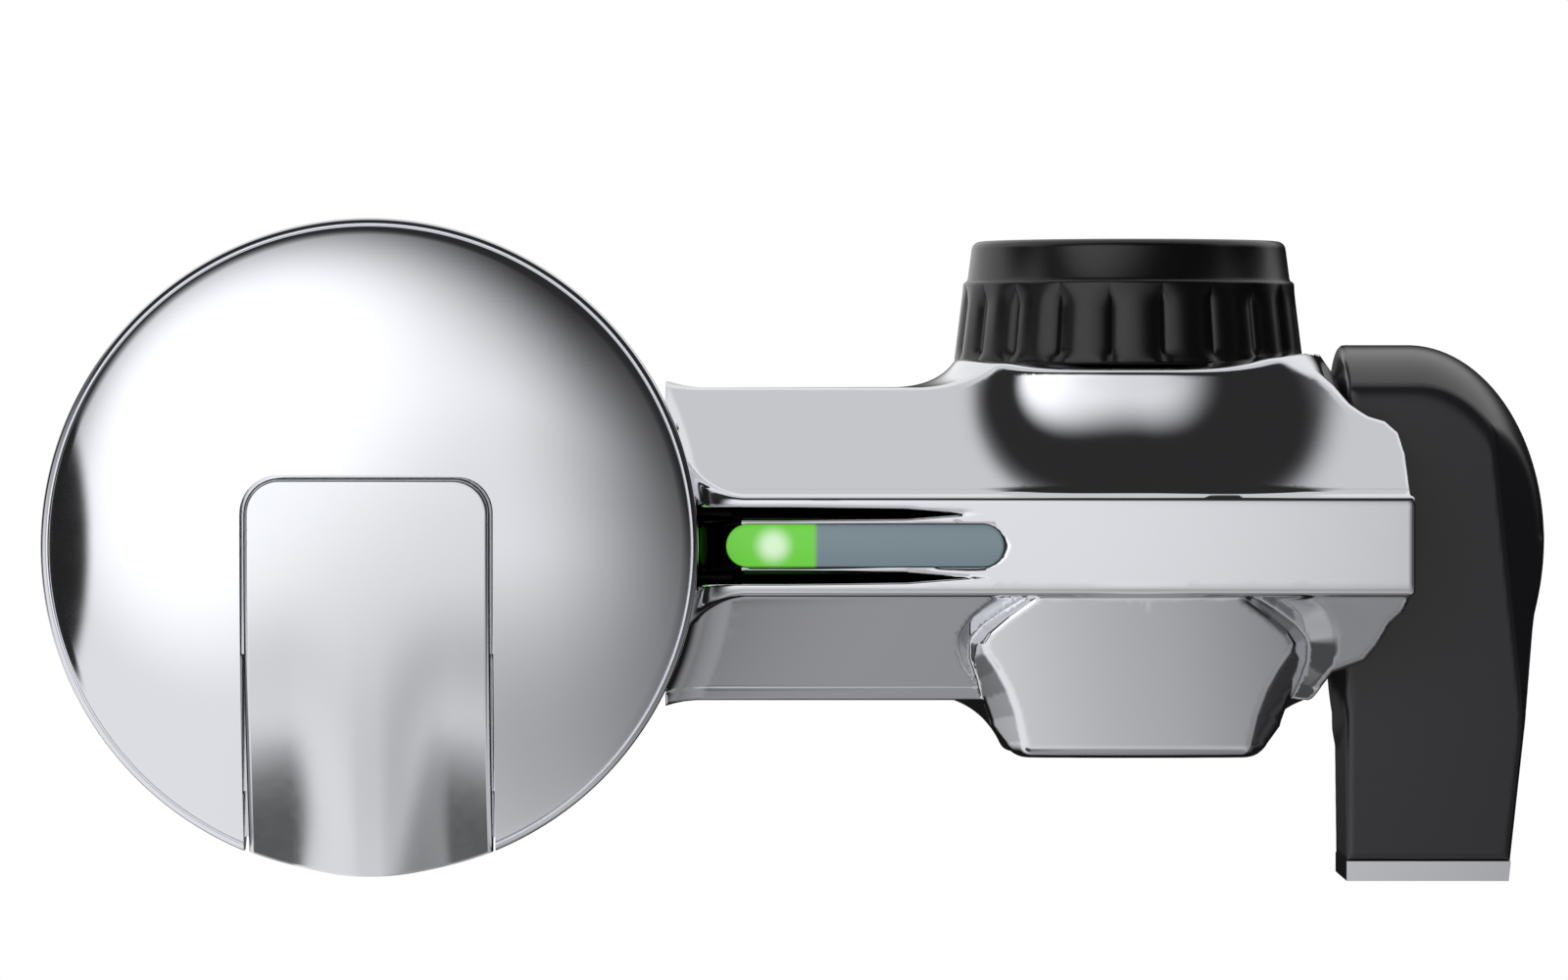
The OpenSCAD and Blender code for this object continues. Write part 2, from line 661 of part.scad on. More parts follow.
// Cap of that sphere, out to radius r
module dome(r) {
    intersection() {
        dome_sphere(0);
        along_y(-rim_y - dome_h - 1) cylinder(r = r, h = dome_h + 1.4);
    }
}
module drum_shell() {
    color([0.82, 0.83, 0.85]) at_drum() difference() {
        union() {
            dome(drum_r);
            along_y(-rim_y) cylinder(r = drum_r, h = 3);
            along_y(-rim_y + 3) cylinder(r1 = drum_r, r2 = drum_side_r, h = 2);
            along_y(-rim_y + 5) cylinder(r = drum_side_r, h = rim_y - 5 + drum_back_y);
        }
        // Room for the vessel
        along_y(-rim_y + 4) cylinder(r = vessel_out + 0.1, h = 2 * cut);
        // Recess of the tongue panel
        intersection() {
            front_view(-rim_y - dome_h - 1, -rim_y + 0.6) tongue_outline(tongue_gap);
            difference() {
                along_y(-rim_y - dome_h - 1) cylinder(r = drum_r + 1, h = cut);
                dome_sphere(tongue_t);
            }
        }
        // Water tubes
        for (s = [-1, 1]) translate([drum_side_r - 6, s * tube_y, 0]) along_x() cylinder(r = tube_r + 0.1, h = 12);
    }
}
// Trim panel with two hollows that run out at its lower edge
module tongue_panel() {
    color([0.84, 0.85, 0.88]) at_drum() difference() {
        intersection() {
            dome(drum_r + tongue_over);
            front_view(-rim_y - dome_h - 1, -rim_y + 1) tongue_outline(0);
        }
        dome_sphere(tongue_t - seat);
        for (s = [-1, 1]) translate([s * tongue_half_w * 0.53, -rim_y - dome_h - 2.4, -drum_r - 2])
            rotate([-26, 0, 0]) cylinder(r1 = 7.4, r2 = 3.2, h = 30);
    }
}

// Pressure vessel, open at the back for the cartridge
module pressure_vessel() {
    color([0.93, 0.94, 0.95]) at_drum() difference() {
        union() {
            along_y(vessel_front) cylinder(r = vessel_out, h = vessel_back - vessel_front);
            along_y(-rim_y + 4.1) cylinder(r = 6, h = vessel_front + rim_y - 4);
        }
        along_y(vessel_front + vessel_wall) cylinder(r = vessel_r, h = cut);
        along_y(-rim_y + 4) cylinder(r = 2.5, h = vessel_front + rim_y + vessel_wall - 6);
        for (s = [-1, 1]) translate([vessel_r - 3, s * tube_y, 0]) along_x() cylinder(r = tube_bore, h = 12);
        // Socket of the cartridge's outlet
        along_y(vessel_front + 1.2) cylinder(r = 7, h = cut);
    }
}
module cover_seal() {
    color([0.12, 0.12, 0.12]) at_drum() along_y(vessel_back + seat) tube(vessel_out, vessel_r + 0.2, seal_t - 2 * seat);
}
module rear_cover() {
    color([0.8, 0.81, 0.83]) at_drum() difference() {
        union() {
            // Flange and crown
            along_y(cover_y) rotate_extrude() polygon([
                [0, 0], [drum_side_r - 0.4, 0], [drum_side_r, 0.4], [drum_side_r, cover_t - 3],
                [drum_side_r - 1, cover_t - 1.2], [drum_side_r - 3, cover_t], [0, cover_t]
            ]);
            // Plug
            along_y(cover_y - plug_depth) cylinder(r = vessel_r - plug_fit, h = plug_depth + 1);
        }
        along_y(cover_y - plug_depth - 1) cylinder(r = vessel_r - plug_fit - 3, h = plug_depth + 1 + cover_t - 3);
        for (i = [0:grips - 1]) rotate([0, 360 * i / grips, 0]) translate([drum_side_r + 1.6, 0, 0])
            along_y(cover_y + 1.6) cylinder(r = 2.4, h = cut);
    }
}

// Replaceable cartridge: pleated wrap round a carbon block, between two caps
module cartridge_front_cap() {
    color([0.93, 0.93, 0.93]) at_drum() difference() {
        union() {
            along_y(cartridge_front) cylinder(r = cartridge_r, h = cap_t);
            along_y(vessel_front + 1.8) cylinder(r = nose_r, h = cartridge_front - vessel_front - 1);
        }
        along_y(vessel_front) cylinder(r = core_bore - 0.4, h = cut);
        along_y(vessel_front + 2.6) ring_groove(nose_r + 1.4, nose_r - 1.2, nose_ring_t + 0.2);
    }
}
module cartridge_ring() {
    color([0.1, 0.1, 0.1]) at_drum() along_y(vessel_front + 3.5) rotate_extrude() translate([nose_r - 0.1, 0])
        circle(d = nose_ring_t, $fn = 32);
}
module cartridge_rear_cap() {
    color([0.93, 0.93, 0.93]) at_drum() difference() {
        along_y(cartridge_back - cap_t) cylinder(r = cartridge_r, h = cap_t);
        along_y(cartridge_back - cap_t - 1) cylinder(r = core_bore, h = 2);
    }
}
module pleated_wrap() {
    inner = carbon_r + 0.3;
    outer = cartridge_r - 1;
    color([0.95, 0.95, 0.92]) at_drum() along_y(media_front) linear_extrude(media_len) difference() {
        polygon([for (i = [0:2 * pleats - 1]) let (r = i % 2 ? outer : inner + 1.4, a = 180 * i / pleats)
            [r * cos(a), r * sin(a)]]);
        circle(r = inner);
    }
}
module carbon_block() { color([0.12, 0.12, 0.13]) at_drum() along_y(media_front) tube(carbon_r, core_r + 0.1, media_len); }
module core_tube() { color([0.9, 0.9, 0.9]) at_drum() along_y(media_front) tube(core_r, core_bore, media_len); }

mount_collar();
collar_clip();
inlet_washer();
inlet_screen();
base_shell();
base_rear_cover();
base_screws();
valve_body();
diverter_spool();
spool_rings();
spool_clip();
lever_handle();
lever_tip();
lever_screw();
spout_insert();
aerator_screen();
status_lens();
status_lamps();
circuit_board();
coin_battery();
flow_turbine();
turbine_pin();
raw_water_tube();
filtered_water_tube();
drum_shell();
tongue_panel();
pressure_vessel();
cover_seal();
rear_cover();
cartridge_front_cap();
cartridge_rear_cap();
pleated_wrap();
carbon_block();
core_tube();
cartridge_ring();
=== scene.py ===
import math

import bmesh
import bpy
import numpy as np
from mathutils import Matrix, Vector


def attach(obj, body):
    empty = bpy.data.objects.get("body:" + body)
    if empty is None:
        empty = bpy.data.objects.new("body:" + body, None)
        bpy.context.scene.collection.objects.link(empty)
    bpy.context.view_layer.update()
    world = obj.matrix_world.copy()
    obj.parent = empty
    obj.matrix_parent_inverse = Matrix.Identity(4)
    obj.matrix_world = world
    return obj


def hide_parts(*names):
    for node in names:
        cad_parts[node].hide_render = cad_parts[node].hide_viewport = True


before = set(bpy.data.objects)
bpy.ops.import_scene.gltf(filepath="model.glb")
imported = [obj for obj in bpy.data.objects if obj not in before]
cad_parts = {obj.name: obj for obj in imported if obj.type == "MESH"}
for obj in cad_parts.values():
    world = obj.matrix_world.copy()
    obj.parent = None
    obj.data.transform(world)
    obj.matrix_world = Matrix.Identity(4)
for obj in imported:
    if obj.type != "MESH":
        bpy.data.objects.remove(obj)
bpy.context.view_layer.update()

bpy.context.scene.view_settings.view_transform = "Standard"
mm = 0.001
# The valve's axis below the collar's top face, and the drum's axis beside the collar's, in mm
axes = {"valveZ": -35.0, "drumX": -87.0}
valveAxis = np.array([0, 0, axes["valveZ"]])
drumAxis = np.array([axes["drumX"], 0, axes["valveZ"]])


def hexColor(text):
    parts = [int(text[i:i + 2], 16) / 255 for i in (0, 2, 4)]
    return [p / 12.92 if p <= 0.04045 else ((p + 0.055) / 1.055) ** 2.4 for p in parts] + [1.0]


def addObject(name, data):
    thing = bpy.data.objects.new(name, data)
    bpy.context.scene.collection.objects.link(thing)
    return thing


def lookAt(thing, place, target):
    thing.location = place
    thing.rotation_mode = "QUATERNION"
    thing.rotation_quaternion = (target - thing.location).to_track_quat("-Z", "Y")


def addNode(tree, kind, values=None, links=None, **settings):
    node = tree.nodes.new(kind)
    for name, value in settings.items():
        setattr(node, name, value)
    for key, value in (values or {}).items():
        node.inputs[key].default_value = value
    for key, socket in (links or {}).items():
        tree.links.new(socket, node.inputs[key])
    return node


def seenDirectly(tree):
    # by the camera, in a mirror or through glass
    ray = addNode(tree, "ShaderNodeLightPath").outputs
    result = ray["Is Camera Ray"]
    for kind in ("Is Glossy Ray", "Is Transmission Ray"):
        either = addNode(tree, "ShaderNodeMath", links={0: result, 1: ray[kind]}, operation="MAXIMUM")
        result = either.outputs[0]
    return result


def newMaterial(name, slots):
    material = bpy.data.materials.new(name)
    material.use_nodes = True
    tree = material.node_tree
    shader = tree.nodes["Principled BSDF"]
    for key, value in slots.items():
        shader.inputs[key].default_value = value
    return material, tree, shader


def bareMaterial(name):
    material, tree, _ = newMaterial(name, {})
    tree.nodes.clear()
    return material, tree


# Camera and studio, in metres

shot = {
    "distance": 0.80,
    "metresPerPixel": 0.000115,   # at the thread's axis, in a frame of this width in pixels
    "frameWidth": 1600,
    "middle": (-0.0404, 0.0, -0.0291),
    "eyeHeight": -0.0172,
    "clip": (0.01, 20.0),
}


def makeCamera():
    data = bpy.data.cameras.new("camera")
    camera = addObject("camera", data)
    middle = Vector(shot["middle"])
    lookAt(camera, (middle.x, -shot["distance"], shot["eyeHeight"]), middle)
    data.lens = data.sensor_width * shot["distance"] / (shot["metresPerPixel"] * shot["frameWidth"])
    data.clip_start, data.clip_end = shot["clip"]
    bpy.context.scene.camera = camera


# Tent of soft white panels, which lights the object and shows in its plating but not to the camera.
# Each patch: direction, half widths along X, Y and Z, width of its soft edge, level. Later ones cover earlier.
tent = {
    "centre": (-0.04, 0.0, -0.035),
    "radius": 0.30, "segments": 64, "rings": 32,
    "base": 1.0,
    "patches": [
        ((0.1, -0.25, -0.96), (0.55, 0.45, 0.4), 0.5, 0.42),  # grey below
        ((0.52, -0.48, 0.13), (0.68, 0.65, 0.93), 0.6, 0.0),  # black flag, right
        ((0.04, -0.54, 0.43), (1.33, 0.41, 0.64), 0.36, 0.03),  # black flag, above the front
        ((0.0, -0.15, 0.98), (1.3, 0.34, 0.4), 0.35, 0.78),  # ceiling
        ((0.08, 0.33, -0.23), (1.03, 1.38, 0.85), 0.17, 0.01),  # dark room behind
        ((-0.53, -0.81, 0.24), (0.92, 0.26, 0.61), 0.48, 1.42),  # soft box, upper left
        ((-0.30, 0.93, 0.3), (0.42, 0.7, 0.6), 0.45, 1.0),  # soft box behind
        ((1.0, 0.0, 0.0), (0.32, 0.55, 0.7), 0.4, 0.015),  # dark side, right
        ((-1.0, -0.1, 0.25), (0.22, 0.5, 0.6), 0.4, 0.03),  # dark side, left
        ((-0.80, -0.59, -0.02), (0.065, 0.2, 0.32), 0.25, 0.02),  # narrow dark flag, left
        ((-0.30, -0.33, -0.9), (0.38, 0.3, 0.2), 0.5, 0.08),  # dark flag below the drum
    ],
}


def makeTent():
    build = bmesh.new()
    bmesh.ops.create_uvsphere(build, u_segments=tent["segments"], v_segments=tent["rings"], radius=tent["radius"])
    mesh = bpy.data.meshes.new("tent")
    build.to_mesh(mesh)
    build.free()
    cloth = addObject("tent", mesh)
    cloth.location = tent["centre"]
    cloth.visible_camera = False
    cloth.visible_shadow = False
    material, tree = bareMaterial("tentCloth")
    place = addNode(tree, "ShaderNodeTexCoord").outputs["Object"]
    way = addNode(tree, "ShaderNodeVectorMath", links={0: place}, operation="NORMALIZE").outputs[0]
    level = addNode(tree, "ShaderNodeValue").outputs[0]
    level.default_value = tent["base"]
    for centre, size, soft, strength in tent["patches"]:
        away = addNode(tree, "ShaderNodeVectorMath", {1: centre}, {0: way}, operation="SUBTRACT")
        scaled = addNode(tree, "ShaderNodeVectorMath", {1: [1 / s for s in size]}, {0: away.outputs[0]},
                         operation="MULTIPLY")
        far = addNode(tree, "ShaderNodeVectorMath", links={0: scaled.outputs[0]}, operation="LENGTH")
        amount = addNode(tree, "ShaderNodeMapRange", {"From Min": 1.0, "From Max": 1.0 - soft},
                         {"Value": far.outputs["Value"]}, interpolation_type="SMOOTHSTEP")
        mix = addNode(tree, "ShaderNodeMix", {"B": strength}, {"Factor": amount.outputs[0], "A": level},
                      data_type="FLOAT")
        level = mix.outputs[0]
    glow = addNode(tree, "ShaderNodeEmission", links={"Strength": level})
    clear = addNode(tree, "ShaderNodeBsdfTransparent")
    back = addNode(tree, "ShaderNodeNewGeometry").outputs["Backfacing"]
    inner = addNode(tree, "ShaderNodeMixShader", links={0: back, 1: clear.outputs[0], 2: glow.outputs[0]})
    addNode(tree, "ShaderNodeOutputMaterial", links={"Surface": inner.outputs[0]})
    mesh.materials.append(material)


white = (1, 1, 1, 1)
surround = {"glow": 0.7}


def makeWorld():
    # even soft light, seen as plain white
    world = bpy.data.worlds.new("studio")
    bpy.context.scene.world = world
    world.use_nodes = True
    tree = world.node_tree
    tree.nodes.clear()
    soft = addNode(tree, "ShaderNodeBackground", {"Color": white, "Strength": surround["glow"]})
    plain = addNode(tree, "ShaderNodeBackground", {"Color": white})
    mixed = addNode(tree, "ShaderNodeMixShader",
                    links={0: seenDirectly(tree), 1: soft.outputs[0], 2: plain.outputs[0]})
    addNode(tree, "ShaderNodeOutputWorld", links={"Surface": mixed.outputs[0]})


stand = {"height": -0.45, "size": 8.0, "color": "f6f6f6", "glow": 0.42}


def makeFloor():
    # white paper, lifted to white where it is seen, and clear from below
    mesh = bpy.data.meshes.new("floor")
    half = stand["size"] / 2
    corners = [(-half, -half), (half, -half), (half, half), (-half, half)]
    mesh.from_pydata([(x, y, stand["height"]) for x, y in corners], [], [(0, 1, 2, 3)])
    floor = addObject("floor", mesh)
    material, tree = bareMaterial("paperFloor")
    paper = addNode(tree, "ShaderNodeBsdfDiffuse", {"Color": hexColor(stand["color"])})
    lift = addNode(tree, "ShaderNodeEmission", {"Strength": stand["glow"]})
    glow = addNode(tree, "ShaderNodeAddShader", links={0: paper.outputs[0], 1: lift.outputs[0]})
    mixed = addNode(tree, "ShaderNodeMixShader",
                    links={0: seenDirectly(tree), 1: paper.outputs[0], 2: glow.outputs[0]})
    clear = addNode(tree, "ShaderNodeBsdfTransparent")
    back = addNode(tree, "ShaderNodeNewGeometry").outputs["Backfacing"]
    oneSided = addNode(tree, "ShaderNodeMixShader", links={0: back, 1: mixed.outputs[0], 2: clear.outputs[0]})
    addNode(tree, "ShaderNodeOutputMaterial", links={"Surface": oneSided.outputs[0]})
    mesh.materials.append(material)


keyLight = {"power": 3.0, "size": 0.7, "place": (-0.55, -0.9, 0.75)}


def makeKeyLight():
    key = bpy.data.lights.new("key", "AREA")
    key.energy, key.size = keyLight["power"], keyLight["size"]
    keyLamp = addObject("key", key)
    lookAt(keyLamp, keyLight["place"], Vector(shot["middle"]))
    keyLamp.visible_glossy = False


makeCamera()
makeTent()
makeWorld()
makeFloor()
makeKeyLight()
print("camera and studio made")


# Materials

grainDetail = 3.0


def grain(tree, shader, rough, size, depth, spread):
    # bumps of a size and depth in mm, which also vary the roughness by the spread
    place = addNode(tree, "ShaderNodeTexCoord").outputs["Object"]
    noise = addNode(tree, "ShaderNodeTexNoise", {"Scale": 1 / (size * mm), "Detail": grainDetail}, {"Vector": place})
    bump = addNode(tree, "ShaderNodeBump", {"Distance": depth * mm}, {"Height": noise.outputs[0]})
    tree.links.new(bump.outputs[0], shader.inputs["Normal"])
    if spread:
        varied = addNode(tree, "ShaderNodeMapRange", {"To Min": rough - spread, "To Max": rough + spread},
                         {"Value": noise.outputs[0]})
        tree.links.new(varied.outputs[0], shader.inputs["Roughness"])


def grained(name, color, rough, size, depth, spread=0.0, **slots):
    material, tree, shader = newMaterial(name, {"Base Color": hexColor(color), "Roughness": rough, **slots})
    grain(tree, shader, rough, size, depth, spread)
    return material


plate = {"color": "dcdde2", "rough": 0.07, "size": 4.0, "depth": 0.0015, "spread": 0.015}


def chromePlate():
    # ABS plated with bright chrome: a mirror with a very slight orange peel from the moulding
    return grained("brightChromePlate", Metallic=1.0, **plate)


grooves = {
    "middle": 3.6, "right": -17.0, "left": -60.0, "depth": 2.2, "round": 0.6, "endRound": 0.4,
    "half": 0.66, "taperEnd": -16.5, "taperRun": 10.0, "narrower": 0.3, "narrowFrom": -40.0, "narrowRun": 24.0,
    # painted shade: black colour in the grooves and in the corner by the drum, in place of the chrome's dark
    # reflections
    "shadeHalf": 0.8, "shadeFront": -27.85, "black": "0a0a0b",
    "shadeCornerRight": -45.2, "shadeCornerHalf": 4.4, "shadeCornerBack": -15.0,
}


def gapTo(tree, coordinate, value):
    # distance of a coordinate from a value in mm
    gap = addNode(tree, "ShaderNodeMath", {1: value * mm}, {0: coordinate}, operation="SUBTRACT")
    return addNode(tree, "ShaderNodeMath", links={0: gap.outputs[0]}, operation="ABSOLUTE").outputs[0]


def whereAll(tree, limits):
    # 1 where every coordinate passes its test against a value in mm
    result = None
    for coordinate, test, value in limits:
        passed = addNode(tree, "ShaderNodeMath", {1: value * mm}, {0: coordinate}, operation=test)
        if result:
            passed = addNode(tree, "ShaderNodeMath", links={0: result.outputs[0], 1: passed.outputs[0]},
                             operation="MULTIPLY")
        result = passed
    return result.outputs[0]


def paintedShadePlate():
    # the same plate, with black painted into the grooves beside the light pipe and into the corner by the drum: painted
    # shade standing in for the dark reflections of the chrome there
    g = grooves
    material, tree, shader = newMaterial("chromePlateWithPaintedShade", {"Metallic": 1.0, "Roughness": plate["rough"]})
    place = addNode(tree, "ShaderNodeTexCoord").outputs["Object"]
    at = addNode(tree, "ShaderNodeSeparateXYZ", links={0: place}).outputs
    height = gapTo(tree, at["Z"], axes["valveZ"])
    off = gapTo(tree, height, g["middle"])
    shadeInGroove = whereAll(tree, [(off, "LESS_THAN", g["shadeHalf"]), (at["Y"], "GREATER_THAN", g["shadeFront"]),
                               (at["X"], "LESS_THAN", g["right"])])
    shadeInCorner = whereAll(tree, [(at["X"], "LESS_THAN", g["shadeCornerRight"]), (height, "LESS_THAN", g["shadeCornerHalf"]),
                               (at["Y"], "LESS_THAN", g["shadeCornerBack"])])
    # painted shade: where either mask holds, the plate's colour turns black
    black = addNode(tree, "ShaderNodeMath", links={0: shadeInGroove, 1: shadeInCorner}, operation="MAXIMUM")
    color = addNode(tree, "ShaderNodeMix", {6: hexColor(plate["color"]), 7: hexColor(g["black"])},
                    {0: black.outputs[0]}, data_type="RGBA")
    tree.links.new(color.outputs[2], shader.inputs["Base Color"])
    grain(tree, shader, plate["rough"], plate["size"], plate["depth"], plate["spread"])
    return material


def satinPlate():
    # the same plate over a finely blasted face, so it mirrors softly
    return grained("satinChromePlate", "d8dade", 0.22, size=1.0, depth=0.0008, spread=0.03, Metallic=1.0)


def blackAbs():
    # glossy black ABS: dark, with clear reflections over a faint moulding ripple
    return grained("glossBlackAbs", "242227", 0.24, size=2.5, depth=0.002, spread=0.03, IOR=1.53)


def collarNylon():
    # black glass-filled nylon with a soft shine
    return grained("blackNylon", "0b0b0d", 0.26, size=0.8, depth=0.003, spread=0.04)


def plainPlastic(name, color, rough, size=0.6, depth=0.003):
    # plain mouldings of one colour
    return grained(name, color, rough, size, depth, rough * 0.15, IOR=1.49)


def steelSheet():
    # stainless steel, turned or stamped
    return grained("stainlessSteel", "c4c5c7", 0.28, size=0.3, depth=0.0006, spread=0.06, Metallic=1.0)


def pleatPaper():
    # melt-blown filter paper, matt and fibrous
    return grained("pleatedFilterPaper", "eeebdf", 0.9, size=0.25, depth=0.01)


def pressedCarbon():
    # carbon grains pressed to a block: black and rough
    return grained("pressedCarbon", "1b1b1d", 0.75, size=0.6, depth=0.03)


lamp = {
    "edge": -36.8, "edgeSoft": 0.35, "spotX": -41.6, "spotRadius": 2.7, "spotCore": 0.5, "power": 0.6,
    "glow": "5fc02c", "hot": "fdfff8", "smoke": "8496a0", "green": "5aa838",
}


def lightPipe():
    # smoked translucent plastic, lit green from behind by the first lamp
    material, tree, shader = newMaterial("smokedLightPipe", {"Roughness": 0.16})
    place = addNode(tree, "ShaderNodeTexCoord").outputs["Object"]
    split = addNode(tree, "ShaderNodeSeparateXYZ", links={0: place})
    edge, soft = lamp["edge"], lamp["edgeSoft"]
    lit = addNode(tree, "ShaderNodeMapRange", {"From Min": (edge + soft) * mm, "From Max": (edge - soft) * mm},
                  {"Value": split.outputs["X"]}, interpolation_type="SMOOTHSTEP").outputs[0]
    away = addNode(tree, "ShaderNodeVectorMath", {1: (lamp["spotX"] * mm, 0, axes["valveZ"] * mm)}, {0: place},
                   operation="SUBTRACT")
    flat = addNode(tree, "ShaderNodeVectorMath", {1: (1, 0, 1)}, {0: away.outputs[0]}, operation="MULTIPLY")
    far = addNode(tree, "ShaderNodeVectorMath", links={0: flat.outputs[0]}, operation="LENGTH")
    spot = addNode(tree, "ShaderNodeMapRange",
                   {"From Min": lamp["spotRadius"] * mm, "From Max": lamp["spotCore"] * mm},
                   {"Value": far.outputs["Value"]}, interpolation_type="SMOOTHSTEP").outputs[0]
    for factor, first, second, slot in ((lit, "smoke", "green", "Base Color"), (spot, "glow", "hot", "Emission Color")):
        color = addNode(tree, "ShaderNodeMix", {6: hexColor(lamp[first]), 7: hexColor(lamp[second])}, {0: factor},
                        data_type="RGBA")
        tree.links.new(color.outputs[2], shader.inputs[slot])
    power = addNode(tree, "ShaderNodeMath", {1: lamp["power"]}, {0: lit}, operation="MULTIPLY")
    tree.links.new(power.outputs[0], shader.inputs["Emission Strength"])
    return material


# The CAD model's material slots under their own names, and three finishes for pieces made here
finish = {
    "chrome": chromePlate(),
    "black_plastic_gloss": blackAbs(),
    "black_plastic": plainPlastic("mattBlackPlastic", "2a2a2c", 0.5, 0.4, 0.01),
    "grey_plastic": plainPlastic("greyAcetal", "cfd0cc", 0.4),
    "white_plastic": plainPlastic("whitePolypropylene", "ededea", 0.42),
    "blue_plastic": plainPlastic("blueTurbinePlastic", "3f66b8", 0.38),
    "rubber": plainPlastic("mouldedRubber", "1c1c1c", 0.65, 0.3, 0.01),
    "steel": steelSheet(),
    "lens": lightPipe(),
    "lamp": plainPlastic("clearEpoxyLamp", "e6f2dc", 0.15),
    "board": plainPlastic("greenSolderMask", "1f6b36", 0.35),
    "filter_paper": pleatPaper(),
    "carbon": pressedCarbon(),
    "grooved": paintedShadePlate(),
    "satin": satinPlate(),
    "nylon": collarNylon(),
}
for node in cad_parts.values():
    slots = node.data.materials
    for n, slotMaterial in enumerate(slots):
        slots[n] = finish[slotMaterial.name.split(".")[0]]
print("materials made")


# Distance fields in mm, with X to the right, Y to the back and Z up from the valve's axis.
# They are below zero inside the solid, and blend where two forms run into each other.

def softMin(a, b, reach):
    overlap = np.maximum(reach - np.abs(a - b), 0) / reach
    return np.minimum(a, b) - overlap * overlap * reach / 4


def softMax(a, b, reach):
    return -softMin(-a, -b, reach)


def smoothRamp(t):
    return t * t * (3 - 2 * t)


def outline(u, v, points):
    # distance to a closed outline in two directions
    best, inside = None, None
    for (u0, v0), (u1, v1) in zip(points, points[1:] + points[:1]):
        du, dv = u1 - u0, v1 - v0
        along = np.clip(((u - u0) * du + (v - v0) * dv) / (du * du + dv * dv), 0, 1)
        far = np.hypot(u - u0 - along * du, v - v0 - along * dv)
        crosses = ((v0 > v) != (v1 > v)) & (u < du * (v - v0) / (dv if dv else 1e-9) + u0)
        best = far if best is None else np.minimum(best, far)
        inside = crosses if inside is None else inside ^ crosses
    return np.where(inside, -best, best)


def slab(v, low, high):
    return np.maximum(low - v, v - high)


def unit(vectors):
    return vectors / np.maximum(np.linalg.norm(vectors, axis=1), 1e-9)[:, None]


def slope(field, points, reach=0.02):
    out = np.empty_like(points)
    for d in range(3):
        shift = np.zeros(3)
        shift[d] = reach
        a, b = points + shift, points - shift
        out[:, d] = (field(a[:, 0], a[:, 1], a[:, 2]) - field(b[:, 0], b[:, 1], b[:, 2])) / (2 * reach)
    return out


net = {"stiffness": 0.04, "farthest": 0.7, "halvings": 3}


def crossings(field, place, d, step, v0, v1):
    # where the surface meets each edge along direction d, by narrowing in on the change of sign
    share = v0 / (v0 - v1)
    left, right, f0, f1 = np.zeros(len(place)), np.ones(len(place)), v0.astype(float), v1.astype(float)
    for _ in range(net["halvings"]):
        at = place.copy()
        at[:, d] += share * step
        f = field(at[:, 0], at[:, 1], at[:, 2])
        same = (f < 0) == (f0 < 0)
        left, f0 = np.where(same, share, left), np.where(same, f, f0)
        right, f1 = np.where(same, right, share), np.where(same, f1, f)
        share = np.clip(left + (right - left) * f0 / np.where(f0 == f1, 1, f0 - f1), 0, 1)
    place[:, d] += share * step
    return place


def surfaceNet(field, low, high, step):
    # one vertex in each cell that the surface passes, set where the planes met on its edges cross,
    # so that crests and creases stay straight
    low = np.array(low, float)
    spans = [np.arange(a, b + step, step) for a, b in zip(low, high)]
    x, y, z = spans[0][:, None, None], spans[1][None, :, None], spans[2][None, None, :]
    value = np.broadcast_to(field(x, y, z), [len(a) for a in spans]).astype(np.float32)
    inside = value < 0
    cells = np.array(value.shape) - 1
    keys, places, normals, rings = [], [], [], []
    for d in range(3):
        a, b = (d + 1) % 3, (d + 2) % 3
        near, there = [slice(None)] * 3, [slice(None)] * 3
        near[d], there[d] = slice(0, -1), slice(1, None)
        edge = np.argwhere(inside[tuple(near)] != inside[tuple(there)])
        edge = edge[(edge[:, a] > 0) & (edge[:, b] > 0) & (edge[:, a] < cells[a]) & (edge[:, b] < cells[b])]
        v0 = value[edge[:, 0], edge[:, 1], edge[:, 2]]
        ahead = edge.copy()
        ahead[:, d] += 1
        v1 = value[ahead[:, 0], ahead[:, 1], ahead[:, 2]]
        place = crossings(field, low + edge * step, d, step, v0, v1)
        normal = unit(slope(field, place))
        ring = []
        for sa, sb in ((0, 0), (1, 0), (1, 1), (0, 1)):
            at = edge.copy()
            at[:, a] -= sa
            at[:, b] -= sb
            ring.append(np.ravel_multi_index(at.T, cells))
            keys.append(ring[-1])
            places.append(place)
            normals.append(normal)
        ring = np.stack(ring, 1)
        ring[v0 >= 0] = ring[v0 >= 0][:, ::-1]
        rings.append(ring)
    keys, places, normals = np.concatenate(keys), np.concatenate(places), np.concatenate(normals)
    used, index = np.unique(keys, return_inverse=True)
    points = cellPoints(index, len(used), places, normals, step)
    return points, np.searchsorted(used, np.concatenate(rings))


def cellPoints(index, size, places, normals, step):
    # least squares point of each cell's planes, held near the middle of its crossings
    def total(weights=None):
        return np.bincount(index, weights, size)

    middle = np.stack([total(places[:, n]) for n in range(3)], 1) / total()[:, None]
    off = (normals * (places - middle[index])).sum(1)
    matrix = np.empty((size, 3, 3))
    side = np.empty((size, 3))
    for m in range(3):
        side[:, m] = total(normals[:, m] * off)
        for n in range(3):
            matrix[:, m, n] = total(normals[:, m] * normals[:, n]) + (net["stiffness"] if m == n else 0)
    move = np.linalg.solve(matrix, side[:, :, None])[:, :, 0]
    return middle + np.clip(move, -net["farthest"] * step, net["farthest"] * step)


def applyModifiers(piece):
    mesh = bpy.data.meshes.new_from_object(piece.evaluated_get(bpy.context.evaluated_depsgraph_get()))
    piece.modifiers.clear()
    piece.data = mesh


